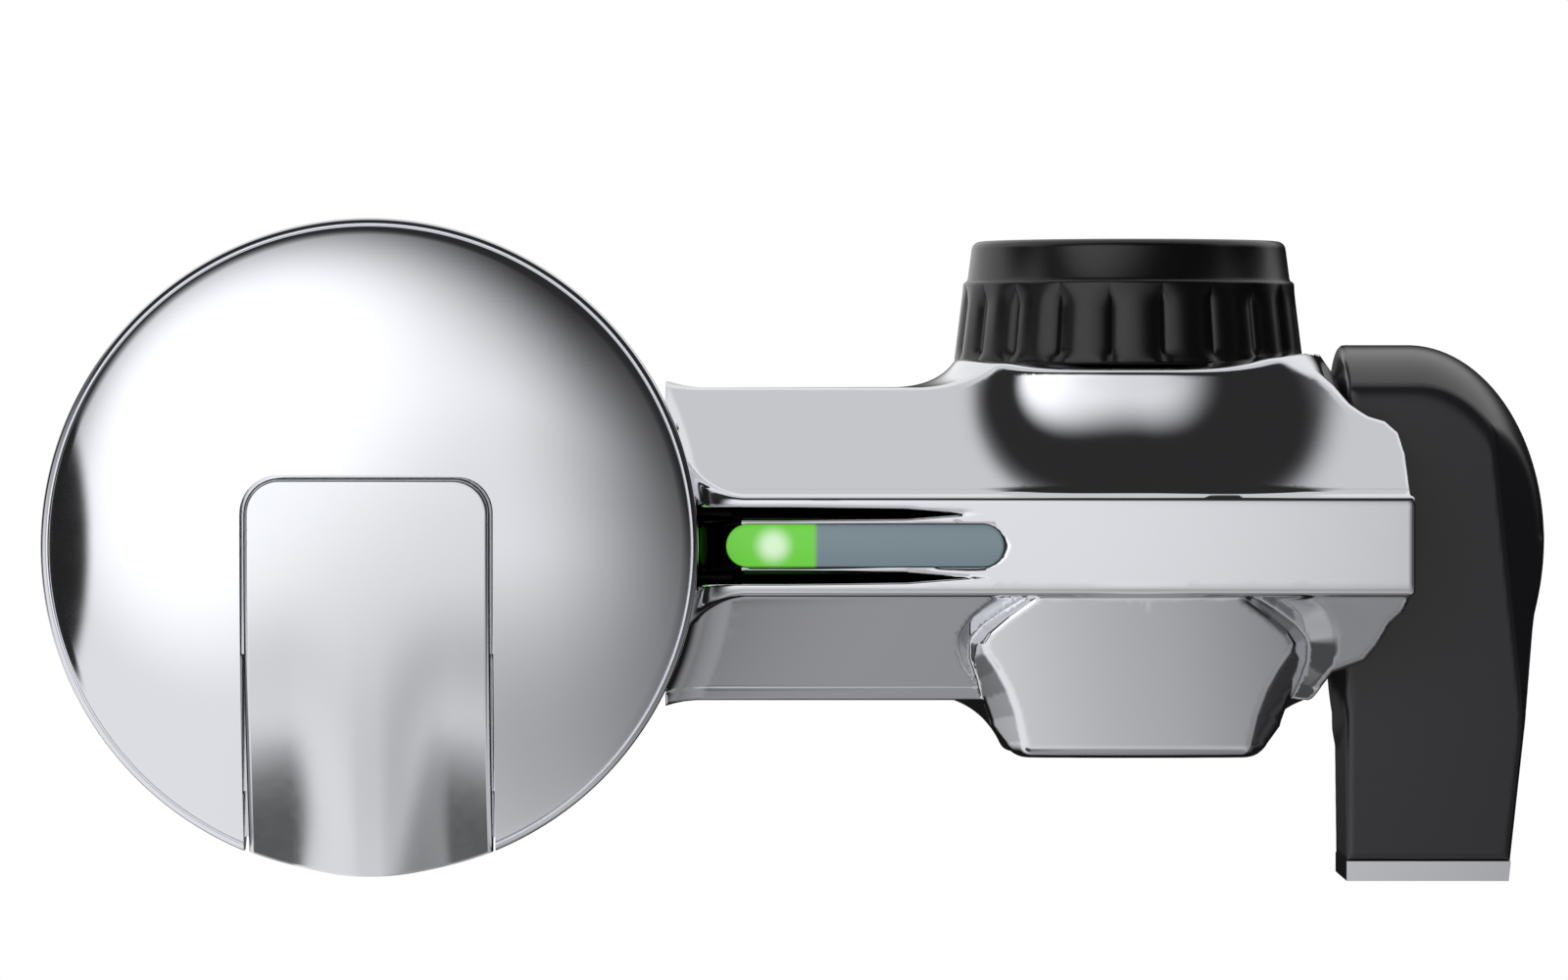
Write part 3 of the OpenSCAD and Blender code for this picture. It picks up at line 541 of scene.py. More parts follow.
def fieldPiece(name, field, size):
    # size gives the box that holds the form, the cells' step and the share of faces to keep
    points, faces = surfaceNet(field, *size["box"], size["step"])
    mesh = bpy.data.meshes.new(name)
    mesh.from_pydata((points + valveAxis) * mm, [], faces.tolist())
    mesh.update()
    piece = addObject(name, mesh)
    fewer = piece.modifiers.new("fewer", "DECIMATE")
    fewer.ratio = size["keep"]
    applyModifiers(piece)
    piece.data.name = name
    shadeByField(piece.data, field)
    return piece


def vertexPlaces(mesh, origin):
    # in mm from the origin
    places = np.empty(len(mesh.vertices) * 3)
    mesh.vertices.foreach_get("co", places)
    return places.reshape(-1, 3) / mm - origin


def shadeByField(mesh, field):
    normal = unit(slope(field, vertexPlaces(mesh, valveAxis), 0.05))
    mesh.polygons.foreach_set("use_smooth", [True] * len(mesh.polygons))
    mesh.normals_split_custom_set_from_vertices(normal.tolist())


def finishPiece(piece, body, finishName, slotName, *nodes):
    piece.data.materials.clear()
    piece.data.materials.append(finish[finishName])
    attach(piece, body)
    if nodes:
        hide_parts(*nodes)


# Light pipe: a pill with a slightly domed face

lens = {
    "middle": 31.2, "half": 15.75, "radius": 2.4, "dome": 0.45, "front": -28.0, "back": -25.5, "round": 0.25,
    "box": ((-48, -29.2, -3.2), (-14.4, -24.8, 3.2)), "step": 0.2, "keep": 0.4,
}


def lensOutline(x, z, grow):
    along = np.maximum(np.abs(x + lens["middle"]) - lens["half"] + lens["radius"], 0)
    return np.hypot(along, z) - lens["radius"] - grow


def lensSolid(x, y, z):
    face = lens["front"] - lens["dome"] * (1 - (z / lens["radius"]) ** 2)
    return softMax(lensOutline(x, z, 0.0), np.maximum(face - y, y - lens["back"]), lens["round"])


finishPiece(fieldPiece("lightPipe", lensSolid, lens), "base", "lens", "lens", "status_lens")


# Housing: arm, band, neck and spout, blended as the moulding is

shell = {
    "box": ((-56, -33.4, -26), (33, 23, 21.5)), "step": 0.42, "keep": 0.45, "wall": 2.0,
    "panelFront": -27.4, "ridge": -17.5, "halfHeight": 18.2, "back": 21.0, "lipFront": -18.9, "lipTop": -8.0,
    "panelRound": 1.6, "ridgeRound": 0.8, "endRound": 0.9, "creaseRound": 0.3,
    "valleyLeft": 3.2, "valleyRight": 5.4, "valleyDeep": 2.0, "valleyTurn": 10.0,
    "bandFront": -28.0, "bandBack": -16.0, "bandHalf": 5.7, "bandEdge": 0.9, "bandEnd": 31.2, "bandEndRound": 0.6,
    "bandStart": -90.0, "bandSeam": 0.4,
    "wingRadius": 8.0, "wingStart": -44.6, "wingScale": 0.8,
    "rimRadius": 36.75, "rootFillet": 4.6, "rootFront": -32.6,
    "drumRadius": 35.28, "drumFront": -31.0, "drumBack": 19.0, "filletSunk": 0.4, "drumFillet": 6.5,
    "saddleRound": 0.2, "saddleEnd": -54.0,
}
neck = {
    "halfX": 18.8, "halfY": 23.2, "taper": 0.07, "taperFrom": 13.0, "squareness": 3.2, "top": 20.1, "round": 1.0,
    "frontReach": 4.6, "leftReach": 9.0, "rightReach": 15.0,
}
spout = {"radius": 14.5, "bottom": -24.5, "widening": 0.2, "round": 1.2, "frontReach": 2.5, "sideReach": 7.0}
face = {
    "front": -27.5, "slope": 0.33, "bulge": 90.0, "top": -4.5, "edgeRound": 0.5, "bottomRound": 1.6, "backRound": 1.0,
    "flankSlope": 1.2, "flankLow": 1.3, "flankHigh": 3.2, "flankRise": 3.5,
}
hollow = {
    "left": -46.0, "hubWall": 23.9, "hubClear": 23.3, "hubBack": -15.5, "hubRound": 0.5,
    "coverHalf": 17.2, "coverFront": 18.6, "coverLeft": -48.0, "coverPast": 0.4,
    "stemRadius": 12.4, "mouthRadius": 12.5, "mouthTop": -13.0, "mouthRound": 0.6,
    "windowGap": 0.1, "windowBack": -20.0,
}


def armEnd():
    # outline of the arm's free end from the front: it falls away from the lever's hub
    far, high = shell["bandStart"], shell["halfHeight"]
    return [(far, high), (20.4, high), (22.2, 17.3), (24.2, 15.7), (26.4, 14.6), (28.4, 14.1), (29.8, 12.8),
            (30.4, 10.4), (30.7, 6.0), (30.7, -6.0), (30.1, -7.6), (28.7, -9.0), (27.5, -11.4), (26.0, -13.4),
            (22.4, -14.8), (20, -high), (far, -high)]


def faceOutline():
    # outline of the rounded face in front of the spout
    side = [(11.2, -4.6), (11.6, -6.0), (14.8, -8.3), (16.9, -10.1), (17.6, -11.2), (17.3, -12.3), (16.0, -14.2),
            (14.7, -16.6), (13.7, -19.4), (13.0, -22.6), (12.7, -26.0)]
    return side + [(-x, z) for x, z in reversed(side)]


def roundFillet(a, b, r):
    # below zero in the hollow corner between two surfaces, out to a quarter circle
    corner = r - np.hypot(np.maximum(r - a, 0), np.maximum(r - b, 0))
    return np.where((a < r) & (b < r), corner, np.minimum(a, b))


def armForm(x, y, z, faceFar):
    # panels slant back from the band; the lower one falls in towards the spout's face, wider on the right
    s = shell
    panel = softMax(slab(y, s["panelFront"], s["back"]), slab(z, -s["halfHeight"], s["halfHeight"]), s["panelRound"])
    run, rise = s["ridge"] - s["panelFront"], s["halfHeight"] - s["bandHalf"]
    slant = (-(y - s["panelFront"]) * rise + (np.abs(z) - s["bandHalf"]) * run) / math.hypot(run, rise)
    lip = np.maximum(slab(y, s["lipFront"], s["back"]), slab(z, -s["halfHeight"], s["lipTop"]))
    arm = np.minimum(softMax(panel, slant, s["ridgeRound"]), lip)
    arm = softMax(arm, outline(x, z, armEnd()), s["endRound"])
    toRight = np.clip(0.5 + x / s["valleyTurn"], 0, 1)
    valleyWide = s["valleyLeft"] + (s["valleyRight"] - s["valleyLeft"]) * toRight
    valley = s["valleyDeep"] * np.clip(1 - faceFar / valleyWide, 0, 1)
    return softMax(arm, np.where(z < 0, slant + valley, slant), s["creaseRound"])


def neckForm(x, y, z):
    n = neck["squareness"]
    halfY = neck["halfY"] - neck["taper"] * (z - neck["taperFrom"])
    across = ((np.abs(x) / neck["halfX"]) ** n + (np.abs(y) / halfY) ** n) ** (1 / n)
    return softMax((across - 1) * neck["halfX"], slab(z, 0, neck["top"]), neck["round"])


def bandForm(x, y, z):
    # stepped front band, which widens to the drum and meets its rim over a round fillet
    s = shell
    bend = np.clip(s["wingStart"] - x, 0, s["wingRadius"])
    flare = s["wingRadius"] - np.sqrt(np.maximum(s["wingRadius"] ** 2 - bend ** 2, 0))
    edge = (np.abs(z) - s["bandHalf"] - flare) * s["wingScale"]
    rim = np.hypot(x - axes["drumX"], z) - s["rimRadius"]
    root = roundFillet(s["bandFront"] - y, rim, s["rootFillet"])
    root = np.where(y > s["rootFront"], root, np.maximum(root, s["rootFront"] - y))
    band = np.maximum(softMax(root, edge, s["bandEdge"]), y - s["bandBack"])
    return softMax(band, slab(x, s["bandStart"], s["bandEnd"]), s["bandEndRound"])


def faceForm(x, y, z, faceFar):
    # gently bulging face in front of the spout, with sloped flanks
    f = face
    front = f["front"] - f["slope"] * (z + shell["bandHalf"]) + x * x / (2 * f["bulge"])
    flank = (faceFar * f["flankSlope"] - (y - front)) / math.hypot(f["flankSlope"], 1)
    up = np.clip((z - spout["bottom"]) / f["flankRise"], 0, 1)
    flankWide = f["flankLow"] + (f["flankHigh"] - f["flankLow"]) * up
    form = softMax(softMax(front - y, flank, f["edgeRound"]), faceFar - flankWide, f["edgeRound"])
    form = softMax(softMax(form, spout["bottom"] - z, f["bottomRound"]), y, f["backRound"])
    return softMax(form, z - f["top"], f["edgeRound"])


def shellOuter(x, y, z):
    s = shell
    faceFar = outline(x, z, faceOutline())
    sideways = x * x / (x * x + y * y + 1e-6)
    sideReach = np.where(x < 0, neck["leftReach"], neck["rightReach"])
    neckReach = neck["frontReach"] + (sideReach - neck["frontReach"]) * sideways
    body = softMin(armForm(x, y, z, faceFar), neckForm(x, y, z), neckReach)
    cone = np.hypot(x, y) - spout["radius"] - spout["widening"] * (z - spout["bottom"])
    cone = softMax(cone, slab(z, spout["bottom"], 0), spout["round"])
    body = softMin(body, cone, spout["frontReach"] + spout["sideReach"] * sideways ** 2)
    # panels run into the drum over a small fillet, which ends just below the drum's surface
    drumForm = np.hypot(x - axes["drumX"], z) - s["drumRadius"] + s["filletSunk"]
    drumForm = np.maximum(drumForm, slab(y, s["drumFront"], s["drumBack"]))
    body = softMin(body, drumForm, s["drumFillet"])
    body = softMax(body, s["panelFront"] - y, s["creaseRound"])
    body = softMin(body, faceForm(x, y, z, faceFar), s["bandSeam"])
    return softMin(body, bandForm(x, y, z), s["bandSeam"])


def channels(x, y, z):
    # groove above and below the lens, running out to the right
    g = grooves
    width = g["half"] * np.clip((g["taperEnd"] - x) / g["taperRun"], 0.0, 1)
    width = width - g["narrower"] * np.clip((x - g["narrowFrom"]) / g["narrowRun"], 0, 1)
    offLine = np.abs(np.abs(z) - g["middle"]) - width
    groove = softMax(offLine, y - shell["bandFront"] - g["depth"], g["round"])
    return softMax(groove, slab(x, g["left"], g["right"]), g["endRound"])


def housing(x, y, z):
    s, h = shell, hollow
    outer = shellOuter(x, y, z)
    outer = softMax(outer, s["drumRadius"] - np.hypot(x - axes["drumX"], z), s["saddleRound"])
    outer = np.maximum(outer, s["saddleEnd"] - x)
    room = np.maximum(outer + s["wall"], slab(x, h["left"], h["hubWall"] - s["wall"]))
    coverSpan = slab(x, h["coverLeft"], h["hubWall"] + h["coverPast"])
    openBack = np.maximum(slab(z, -h["coverHalf"], h["coverHalf"]), np.maximum(h["coverFront"] - y, coverSpan))
    hub = np.maximum(np.hypot(y, z) - h["hubClear"], h["hubWall"] - x)
    behind = np.maximum(h["hubWall"] - x, h["hubBack"] - y)
    stem = np.maximum(np.hypot(x, y) - h["stemRadius"], -z)
    mouth = np.maximum(np.hypot(x, y) - h["mouthRadius"], z - h["mouthTop"])
    window = np.maximum(lensOutline(x, z, h["windowGap"]), y - h["windowBack"])
    body = np.maximum(outer, -np.minimum(room, openBack))
    body = softMax(body, -np.minimum(hub, behind), h["hubRound"])
    body = np.maximum(body, -stem)
    body = softMax(body, -mouth, h["mouthRound"])
    body = softMax(body, -channels(x, y, z), h["hubRound"])
    return np.maximum(body, -window)


# chrome housing, with painted shade in the lens grooves and in the corner by the drum
housingPiece = fieldPiece("housing", housing, shell)
finishPiece(housingPiece, "base", "grooved", "chrome", "base_shell")
print("housing made", len(housingPiece.data.polygons))


# Lever: hub turned about X and cut flat in front, with a tapered tail

lever = {
    "box": ((23.6, -15.4, -38), (49.6, 24, 24)), "step": 0.42, "keep": 0.9,
    "left": 24.5, "radius": 22.9, "rim": 8.2, "dome": 15.9, "domeScale": 0.9, "edge": 0.9,
    "front": -14.4, "length": 36.72, "tipDepth": 16.0, "topDepth": 22.0, "backRound": 1.2, "tipRound": 0.2,
    "inset": 1.2, "taper": 4.0, "blend": 1.2,
    "bevelX": 43.4, "bevelLean": 0.106, "bevelFrom": -6.0, "bevelAway": 0.78, "bevelAhead": 0.62, "bevelRound": 0.5,
    "socketHalf": 4.55, "socketEnd": 29.6, "screwRadius": 3.2, "screwFrom": 33.0, "screwRound": 0.3,
    "holeRadius": 1.6, "wall": 2.4, "hollowLeft": 26.5, "hollowRight": 41.6, "hollowTop": -23.4, "hollowRound": 0.6,
}


def leverForm(x, y, z):
    s = lever
    rimEnd = s["left"] + s["rim"]
    along = np.maximum(x - rimEnd, 0) / s["dome"]
    turnedForm = (np.sqrt((np.hypot(y, z) / s["radius"]) ** 2 + along ** 2) - 1) * s["dome"] * s["domeScale"]
    hub = softMax(turnedForm, s["left"] - x, s["edge"])
    drop = np.clip(-z / s["length"], -0.3, 1.1)
    right = x - (rimEnd + s["dome"] - s["inset"] - s["taper"] * drop)
    back = y - (s["front"] + s["topDepth"] + (s["tipDepth"] - s["topDepth"]) * drop)
    tail = softMax(softMax(s["left"] - x, right, s["edge"]), back, s["backRound"])
    tail = np.maximum(softMax(tail, slab(z, -s["length"], 0), s["tipRound"]), z)
    body = softMin(hub, tail, s["blend"])
    body = softMax(body, s["front"] - y, s["edge"])
    # bevel down the outer edge, starting where the hub's curve ends
    bevel = ((x - s["bevelX"] + s["bevelLean"] * (z - s["bevelFrom"])) * s["bevelAway"]
             - (y - s["front"]) * s["bevelAhead"])
    return softMax(body, bevel, s["bevelRound"])


def leverSolid(x, y, z):
    s = lever
    socket = np.maximum(np.maximum(np.abs(y), np.abs(z)) - s["socketHalf"], x - s["socketEnd"])
    screw = np.maximum(np.hypot(y, z) - s["screwRadius"], s["screwFrom"] - x)
    hole = np.hypot(y, z) - s["holeRadius"]
    room = np.maximum(slab(x, s["hollowLeft"], s["hollowRight"]), slab(z, -s["length"] + s["wall"], s["hollowTop"]))
    room = np.maximum(room, s["front"] + s["wall"] - y)
    body = np.maximum(leverForm(x, y, z), -np.minimum(socket, hole))
    body = softMax(body, -screw, s["screwRound"])
    return softMax(body, -room, s["hollowRound"])


leverPiece = fieldPiece("lever", leverSolid, lever)
finishPiece(leverPiece, "lever", "black_plastic_gloss", "black_plastic_gloss", "lever_handle")
print("lever made", len(leverPiece.data.polygons))


# Turned pieces: a profile of (radius, height) points swept round an axis

mend = {"doubles": 1e-7, "slivers": 1e-8}


def solidPiece(name, points, faces):
    # points in mm; doubles and slivers go, and the faces turn outwards
    mesh = bpy.data.meshes.new(name)
    mesh.from_pydata(np.asarray(points) * mm, [], faces)
    build = bmesh.new()
    build.from_mesh(mesh)
    bmesh.ops.remove_doubles(build, verts=build.verts, dist=mend["doubles"])
    bmesh.ops.dissolve_degenerate(build, edges=build.edges, dist=mend["slivers"])
    bmesh.ops.recalc_face_normals(build, faces=build.faces)
    build.to_mesh(mesh)
    build.free()
    return addObject(name, mesh)


def turned(name, profile, steps, place, radial=None, closed=False):
    rows = len(profile)
    angle = np.arange(steps) * 2 * math.pi / steps
    points, faces = [], []
    for n, (r, h) in enumerate(profile):
        ring = r + (radial(angle, n) if radial is not None else 0)
        points.append(place(ring * np.cos(angle), ring * np.sin(angle), np.full(steps, h)))
    for n in range(rows if closed else rows - 1):
        low, high = n * steps, (n + 1) % rows * steps
        faces += [(low + i, low + (i + 1) % steps, high + (i + 1) % steps, high + i) for i in range(steps)]
    return solidPiece(name, np.concatenate(points), faces)


def roundArc(cx, cy, r, a0, a1, n):
    # points of an arc from angle a0 to a1 in degrees
    angles = [math.radians(a0 + (a1 - a0) * i / n) for i in range(n + 1)]
    return [(cx + r * math.cos(a), cy + r * math.sin(a)) for a in angles]


def smoothByAngle(piece, degrees):
    piece.data.polygons.foreach_set("use_smooth", [True] * len(piece.data.polygons))
    piece.data.set_sharp_from_angle(angle=math.radians(degrees))


def upright(a, b, h):
    return np.stack([a, b, h], 1)


def aboutDrum(a, b, h):
    return np.stack([a, h, b], 1) + drumAxis


# Collar: fluted nut with a smooth top tier

collar = {
    "bore": 11.8, "threadDepth": 8.5, "stemBore": 12.38, "height": 14.5, "chamfer": 0.5,
    "topRadius": 18.4, "topRound": 1.0, "tier": 4.6, "stepOut": 0.45, "stepUp": 0.25, "stepDown": 0.55,
    "radius": 20.4, "flankOut": 1.0, "flankIn": 0.9, "rows": 14, "steps": 720, "crease": 32,
    "flutes": 20, "fluteDepth": 0.9, "sharpness": 0.55, "fluteFrom": 0.6, "fluteRise": 2.2, "fluteFade": 0.8,
}


def collarPiece():
    c = collar
    top, low, cut = -c["tier"], -c["height"], c["chamfer"]
    outer = [(c["bore"] + cut, 0.0)]
    outer += roundArc(c["topRadius"] - c["topRound"], -c["topRound"], c["topRound"], 90, 5, 6)
    outer.append((c["topRadius"] + c["stepOut"], top + c["stepUp"]))
    outer += roundArc(c["topRadius"] + cut, top - c["stepDown"], cut, 80, 0, 4)
    outer += list(zip(np.linspace(c["topRadius"] + c["flankOut"], c["radius"], c["rows"]),
                      np.linspace(top - c["flankIn"], low + c["flankIn"], c["rows"])))[1:]
    outer += roundArc(c["radius"] - cut, low + cut, cut, -10, -90, 4)
    seat = -c["threadDepth"]
    profile = outer + [(c["stemBore"], low), (c["stemBore"], seat), (c["bore"], seat), (c["bore"], -cut)]

    def radial(angle, n):
        # flutes round the lower tier's outside, fading out at its top and bottom
        radius, height = profile[n]
        if radius < c["topRadius"]:
            return 0 * angle
        deep = min((top - c["fluteFrom"] - height) / c["fluteRise"], 1.0, (height - low - cut) / c["fluteFade"])
        wave = np.abs(np.cos(angle * c["flutes"] / 2)) ** c["sharpness"]
        return -c["fluteDepth"] * max(deep, 0.0) * (1 - wave)

    piece = turned("collar", profile, c["steps"], upright, radial, closed=True)
    smoothByAngle(piece, c["crease"])
    return piece


finishPiece(collarPiece(), "collar", "nylon", "black_plastic_gloss", "mount_collar")


# Drum: shallow dome, fine ring inside its rim, plain side wall

drum = {
    "rim": -34.0, "radius": 37.0, "domeHeight": 7.0, "domeRows": 40, "domeFrom": 1.5, "steps": 256, "crease": 40,
    "ringIn": 0.9, "ring": [(0.0, 0.02), (0.12, 0.25), (0.22, 0.25), (0.30, 0.05)],   # outwards, deep
    "rimRound": 0.5, "rimRise": 0.32, "rimBack": 2.6, "shoulder": [(0.25, 3.1), (1.6, 4.8), (1.8, 5.2)],
    "side": 35.2, "back": 34.0, "chamfer": 0.3, "bore": 32.5, "floor": -28.9, "pitRadius": 8.0, "pit": -30.0,
}


def domeDepth(r):
    # Y of the dome's face at a radius
    big = (drum["radius"] ** 2 + drum["domeHeight"] ** 2) / (2 * drum["domeHeight"])
    return drum["rim"] - drum["domeHeight"] + big - np.sqrt(big * big - r * r)


def drumPiece():
    d = drum
    edge = d["radius"] - d["ringIn"]
    points = [(0.0, float(domeDepth(0)))]
    points += [(r, float(domeDepth(r))) for r in np.linspace(d["domeFrom"], edge - 0.15, d["domeRows"])]
    points += [(edge + out, float(domeDepth(edge)) + deep) for out, deep in d["ring"]]
    points += roundArc(d["radius"] - d["rimRound"], d["rim"] + d["rimRise"], d["rimRound"], -70, 0, 5)
    points.append((d["radius"], d["rim"] + d["rimBack"]))
    points += [(d["radius"] - inward, d["rim"] + behind) for inward, behind in d["shoulder"]]
    points += [(d["side"], d["back"] - d["chamfer"]), (d["side"] - d["chamfer"], d["back"]), (d["bore"], d["back"]),
               (d["bore"], d["floor"]), (d["pitRadius"], d["floor"]), (d["pitRadius"], d["pit"]), (0.0, d["pit"])]
    return turned("drum", points, d["steps"], aboutDrum)


# Tongue panel in a stepped recess of the drum's face. Each level: top of the recess, its floor, the panel's back

tongue = {
    "half": 13.75, "top": 7.8, "radius": 4.0, "gap": 0.4, "reach": 37.1, "bevel": 0.6,
    "levels": [(7.8, -34.6, -34.7), (-12.4, -31.2, -31.25), (-28.0, -29.6, -29.65)],
    "low": -45.0, "ahead": -45.0, "columns": 97, "rows": 121, "crowding": 1.35, "crease": 50, "domeLimit": 37.9,
    "hollowStart": 4.0, "hollowMiddle": 7.8, "hollowDepth": 3.5, "deepening": 1.7,
    "riseFrom": 6.6, "riseRun": 8.0, "fallRun": 6.5, "fallShare": 0.25,
    "sideShare": 0.6, "fallShade": 0.22, "shadeStart": 7.0, "shadeRun": 16.0, "ridgeHalf": 0.8, "ridgeRun": 7.0,
}


def recessPoints(top, radius, arcSteps):
    half, low = tongue["half"] + tongue["gap"], tongue["low"]
    right = roundArc(half - radius, top - radius, radius, 0, 90, arcSteps)
    left = roundArc(-half + radius, top - radius, radius, 90, 180, arcSteps)
    return [(half, low)] + right + left + [(-half, low)]


def outlinePrism(name, points, y0, y1):
    n = len(points)
    places = [(x + axes["drumX"], y, z + axes["valveZ"]) for y in (y0, y1) for x, z in points]
    faces = [tuple(range(n)), tuple(range(2 * n - 1, n - 1, -1))]
    faces += [(i, i + n, (i + 1) % n + n, (i + 1) % n) for i in range(n)]
    return solidPiece(name, places, faces)


def cutWith(piece, tool):
    cut = piece.modifiers.new("cut", "BOOLEAN")
    cut.operation, cut.solver, cut.object = "DIFFERENCE", "EXACT", tool
    applyModifiers(piece)
    bpy.data.objects.remove(tool)


def recessedDrum():
    piece = drumPiece()
    for n, (top, floor, _) in enumerate(tongue["levels"]):
        radius, arcSteps = (tongue["radius"] + tongue["gap"], 12) if n == 0 else (0.01, 1)
        points = recessPoints(top + tongue["gap"], radius, arcSteps)
        cutWith(piece, outlinePrism("recess", points, tongue["ahead"], floor))
    smoothByAngle(piece, drum["crease"])
    return piece


finishPiece(recessedDrum(), "base", "chrome", "chrome", "drum_shell")


def tongueSurface(x, z):
    # dome with a ridge down the middle and a hollow on each side that deepens towards the lower edge
    t = tongue
    base = domeDepth(np.minimum(np.hypot(x, z), t["domeLimit"]))
    down = np.clip((-z - t["hollowStart"]) / (t["reach"] - t["hollowStart"]), 0, 1.1)
    off = np.abs(x) - t["hollowMiddle"]
    rise = np.clip((off + t["riseFrom"]) / t["riseRun"], 0, 1)
    fall = np.clip(off / t["fallRun"], 0, 1)
    side = smoothRamp(rise) * (1 - t["fallShare"] * fall * fall)
    return base + t["hollowDepth"] * down ** t["deepening"] * side


def insideTongue(x, z):
    # distance in from the panel's sides and its rounded top
    r = tongue["radius"]
    side, up = np.abs(x) - tongue["half"], z - tongue["top"]
    corner = r - np.hypot(np.maximum(side + r, 0), np.maximum(up + r, 0))
    return np.minimum(np.minimum(-side, -up), corner)


def tonguePiece():
    # a grid of points in front and one behind, joined round the rim
    t = tongue
    columns, rows = t["columns"], t["rows"]
    even = np.linspace(-1, 1, columns)
    x = np.sign(even) * (1 - (1 - np.abs(even)) ** t["crowding"]) * t["half"]
    drop = np.maximum(np.abs(x) - (t["half"] - t["radius"]), 0)
    top = t["top"] - t["radius"] + np.sqrt(np.maximum(t["radius"] ** 2 - drop ** 2, 0))
    low = -np.sqrt(t["reach"] ** 2 - x ** 2)
    share = 0.5 - 0.5 * np.cos(np.linspace(0, 1, rows) * math.pi)
    z = low[None, :] + (top - low)[None, :] * share[:, None]
    x = np.broadcast_to(x[None, :], z.shape)
    fall = np.clip(1 - insideTongue(x, z) / t["bevel"], 0, 1)
    y = tongueSurface(x, z) + t["bevel"] * (1 - np.sqrt(np.maximum(1 - fall ** 2, 0)))
    back = np.full(z.shape, t["levels"][0][2])
    for levelTop, _, levelBack in t["levels"][1:]:
        back[z < levelTop] = levelBack
    points = np.concatenate([np.stack([x, side, z], 2).reshape(-1, 3) for side in (y, back)])
    at = np.arange(len(points)).reshape(2, rows, columns).tolist()
    faces = []
    for i in range(rows - 1):
        for j in range(columns - 1):
            corners = ((i, j), (i, j + 1), (i + 1, j + 1), (i + 1, j))
            faces.append([at[0][k][l] for k, l in corners])
            faces.append([at[1][k][l] for k, l in (corners[0], corners[3], corners[2], corners[1])])
    rim = [(0, j) for j in range(columns - 1)] + [(i, columns - 1) for i in range(rows - 1)]
    rim += [(rows - 1, j) for j in range(columns - 1, 0, -1)] + [(i, 0) for i in range(rows - 1, 0, -1)]
    for (i, j), (k, l) in zip(rim, rim[1:] + rim[:1]):
        faces.append((at[0][k][l], at[0][i][j], at[1][i][j], at[1][k][l]))
    piece = solidPiece("tongue", points + drumAxis, faces)
    smoothByAngle(piece, t["crease"])
    shadeHollows(piece.data)
    return piece


def shadeHollows(mesh):
    # normals of the open face, with the hollows' fall drawn out further than the thin panel allows
    t = tongue
    x, y, z = vertexPlaces(mesh, drumAxis).T
    reach = 0.05
    slopeX = (tongueSurface(x + reach, z) - tongueSurface(x - reach, z)) / (2 * reach)
    slopeZ = (tongueSurface(x, z + reach) - tongueSurface(x, z - reach)) / (2 * reach)
    down = np.clip((-z - t["shadeStart"]) / t["shadeRun"], 0, 1)
    side = np.clip((np.abs(x) - t["ridgeHalf"]) / t["ridgeRun"], 0, 1)
    slopeZ = slopeZ - t["fallShade"] * smoothRamp(down) * smoothRamp(side)
    normal = unit(np.stack([slopeX * t["sideShare"], -np.ones(len(x)), slopeZ], 1))
    rim = np.minimum(insideTongue(x, z), t["reach"] - np.hypot(x, z) + t["gap"])
    onFace = (rim > t["bevel"]) & (np.abs(y - tongueSurface(x, z)) < reach)
    normal[~onFace] = 0
    mesh.normals_split_custom_set_from_vertices(normal.tolist())


finishPiece(tonguePiece(), "base", "satin", "chrome", "tongue_panel")
print("drum made")


# Fine work that repeats, by geometry nodes

def nodeGroup(name, inputs):
    group = bpy.data.node_groups.new(name, "GeometryNodeTree")
    group.interface.new_socket("Geometry", in_out="INPUT", socket_type="NodeSocketGeometry")
    for key, kind in inputs.items():
        group.interface.new_socket(key, in_out="INPUT", socket_type="NodeSocket" + kind)
    group.interface.new_socket("Geometry", in_out="OUTPUT", socket_type="NodeSocketGeometry")
    return group, group.nodes.new("NodeGroupInput").outputs


def endGroup(group, given, geometry):
    real = addNode(group, "GeometryNodeRealizeInstances", links={0: geometry})
    painted = addNode(group, "GeometryNodeSetMaterial", links={0: real.outputs[0], "Material": given["Material"]})
    addNode(group, "NodeGroupOutput", links={0: painted.outputs[0]})
    return group


def applyGroup(name, group, values):
    # run the group on an empty mesh and keep what it makes as a plain mesh
    piece = addObject(name, bpy.data.meshes.new(name))
    modifier = piece.modifiers.new("build", "NODES")
    modifier.node_group = group
    for item in group.interface.items_tree:
        if item.in_out == "INPUT" and item.name in values:
            modifier[item.identifier] = values[item.name]
    bpy.context.view_layer.update()
    applyModifiers(piece)
    piece.data.name = name
    return piece


# Thread in the collar's bore

thread = {"turns": 7.4, "pitch": 0.94, "radius": 11.78, "wire": 0.42, "top": -0.75, "steps": 72, "wireSides": 8,
          "crease": 60}


def threadGroup():
    # a spiral swept with a small round wire
    group, given = nodeGroup("threadTurns", {"Turns": "Float", "Height": "Float", "Radius": "Float", "Wire": "Float",
                                             "Steps": "Int", "Material": "Material"})
    spiral = addNode(group, "GeometryNodeCurveSpiral", links={
        "Rotations": given["Turns"], "Start Radius": given["Radius"], "End Radius": given["Radius"],
        "Height": given["Height"], "Resolution": given["Steps"]})
    wire = addNode(group, "GeometryNodeCurvePrimitiveCircle", {"Resolution": thread["wireSides"]},
                   {"Radius": given["Wire"]})
    swept = addNode(group, "GeometryNodeCurveToMesh", {"Fill Caps": True},
                    {"Curve": spiral.outputs[0], "Profile Curve": wire.outputs[0]})
    return endGroup(group, given, swept.outputs[0])


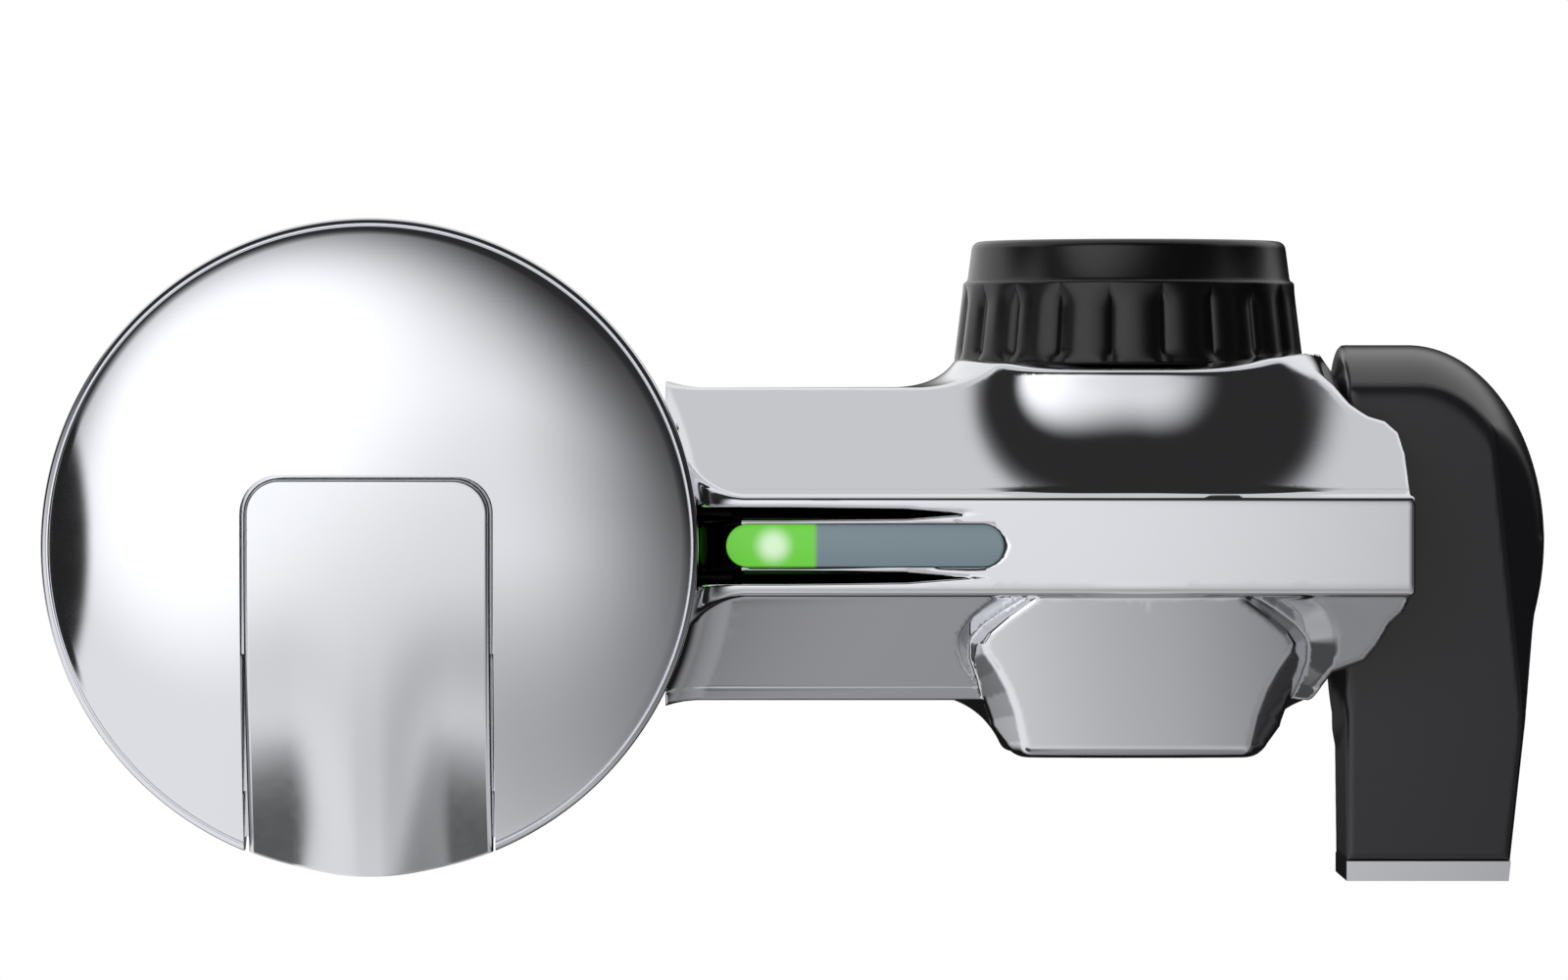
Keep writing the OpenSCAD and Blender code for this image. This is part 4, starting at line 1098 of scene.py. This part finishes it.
def makeThread():
    t = thread
    height = t["turns"] * t["pitch"]
    piece = applyGroup("threadTurns", threadGroup(), {
        "Turns": t["turns"], "Height": height * mm, "Radius": t["radius"] * mm,
        "Wire": t["wire"] * mm, "Steps": t["steps"], "Material": finish["nylon"]})
    piece.data.transform(Matrix.Translation((0, 0, (t["top"] - height) * mm)))
    smoothByAngle(piece, t["crease"])
    finishPiece(piece, "collar", "nylon", "black_plastic_gloss")


# Woven screens at the inlet and in the aerator

screens = {
    "inlet_screen": {"name": "inletMesh", "radius": 7.2, "rim": 7.45, "z": -10.8, "half": 0.38, "gap": 0.62,
                     "wire": 0.13},
    "aerator_screen": {"name": "aeratorMesh", "radius": 4.3, "rim": 4.55, "z": -58.15, "half": 0.33, "gap": 0.46,
                       "wire": 0.10},
}
weave = {"wireSides": 6, "rimOverlap": 0.3, "rimSteps": 64, "shortest": 0.0004, "crease": 35}


def screenGroup():
    # two crossed sets of wires inside a round rim; each wire is as long as its chord
    group, given = nodeGroup("crossedWires", {"Radius": "Float", "Wire": "Float", "Count": "Int",
                                              "Material": "Material"})
    low = addNode(group, "ShaderNodeMath", {1: -1.0}, {0: given["Radius"]}, operation="MULTIPLY")
    start = addNode(group, "ShaderNodeCombineXYZ", links={0: low.outputs[0]})
    end = addNode(group, "ShaderNodeCombineXYZ", links={0: given["Radius"]})
    line = addNode(group, "GeometryNodeMeshLine", links={
        "Start Location": start.outputs[0], "Offset": end.outputs[0], "Count": given["Count"]}, mode="END_POINTS")
    place = addNode(group, "GeometryNodeInputPosition")
    split = addNode(group, "ShaderNodeSeparateXYZ", links={0: place.outputs[0]})
    ratio = addNode(group, "ShaderNodeMath", links={0: split.outputs["X"], 1: given["Radius"]}, operation="DIVIDE")
    square = addNode(group, "ShaderNodeMath", links={0: ratio.outputs[0], 1: ratio.outputs[0]}, operation="MULTIPLY")
    rest = addNode(group, "ShaderNodeMath", {0: 1.0}, {1: square.outputs[0]}, operation="SUBTRACT")
    held = addNode(group, "ShaderNodeMath", {1: weave["shortest"]}, {0: rest.outputs[0]}, operation="MAXIMUM")
    chord = addNode(group, "ShaderNodeMath", links={0: held.outputs[0]}, operation="SQRT")
    length = addNode(group, "ShaderNodeMath", {1: 2.0}, {0: given["Radius"]}, operation="MULTIPLY")
    wire = addNode(group, "GeometryNodeMeshCylinder", {"Vertices": weave["wireSides"]},
                   {"Radius": given["Wire"], "Depth": length.outputs[0]})
    scale = addNode(group, "ShaderNodeCombineXYZ", {0: 1.0, 1: 1.0}, {2: chord.outputs[0]})
    wires = addNode(group, "GeometryNodeInstanceOnPoints", {"Rotation": (math.pi / 2, 0, 0)},
                    {"Points": line.outputs[0], "Instance": wire.outputs["Mesh"], "Scale": scale.outputs[0]})
    lift = addNode(group, "ShaderNodeCombineXYZ", links={2: given["Wire"]})
    upper = addNode(group, "GeometryNodeTransform", {"Rotation": (0, 0, math.pi / 2)},
                    {"Geometry": wires.outputs[0], "Translation": lift.outputs[0]})
    both = addNode(group, "GeometryNodeJoinGeometry")
    group.links.new(upper.outputs[0], both.inputs[0])
    group.links.new(wires.outputs[0], both.inputs[0])
    return endGroup(group, given, both.outputs[0])


def makeScreens():
    group = screenGroup()
    for node, size in screens.items():
        piece = applyGroup(size["name"], group, {
            "Radius": size["radius"] * mm, "Wire": size["wire"] * mm,
            "Count": int(2 * size["radius"] / size["gap"]), "Material": finish["steel"]})
        inner, half = size["radius"] - weave["rimOverlap"], size["half"]
        profile = [(size["rim"], -half), (size["rim"], half), (inner, half), (inner, -half)]
        rim = turned("rim", profile, weave["rimSteps"], upright, closed=True)
        build = bmesh.new()
        build.from_mesh(piece.data)
        build.from_mesh(rim.data)
        bmesh.ops.translate(build, verts=build.verts, vec=(0, 0, size["z"] * mm))
        build.to_mesh(piece.data)
        build.free()
        bpy.data.objects.remove(rim)
        smoothByAngle(piece, weave["crease"])
        finishPiece(piece, "base", "steel", "steel", node)


makeThread()
makeScreens()
print("thread and screens made")
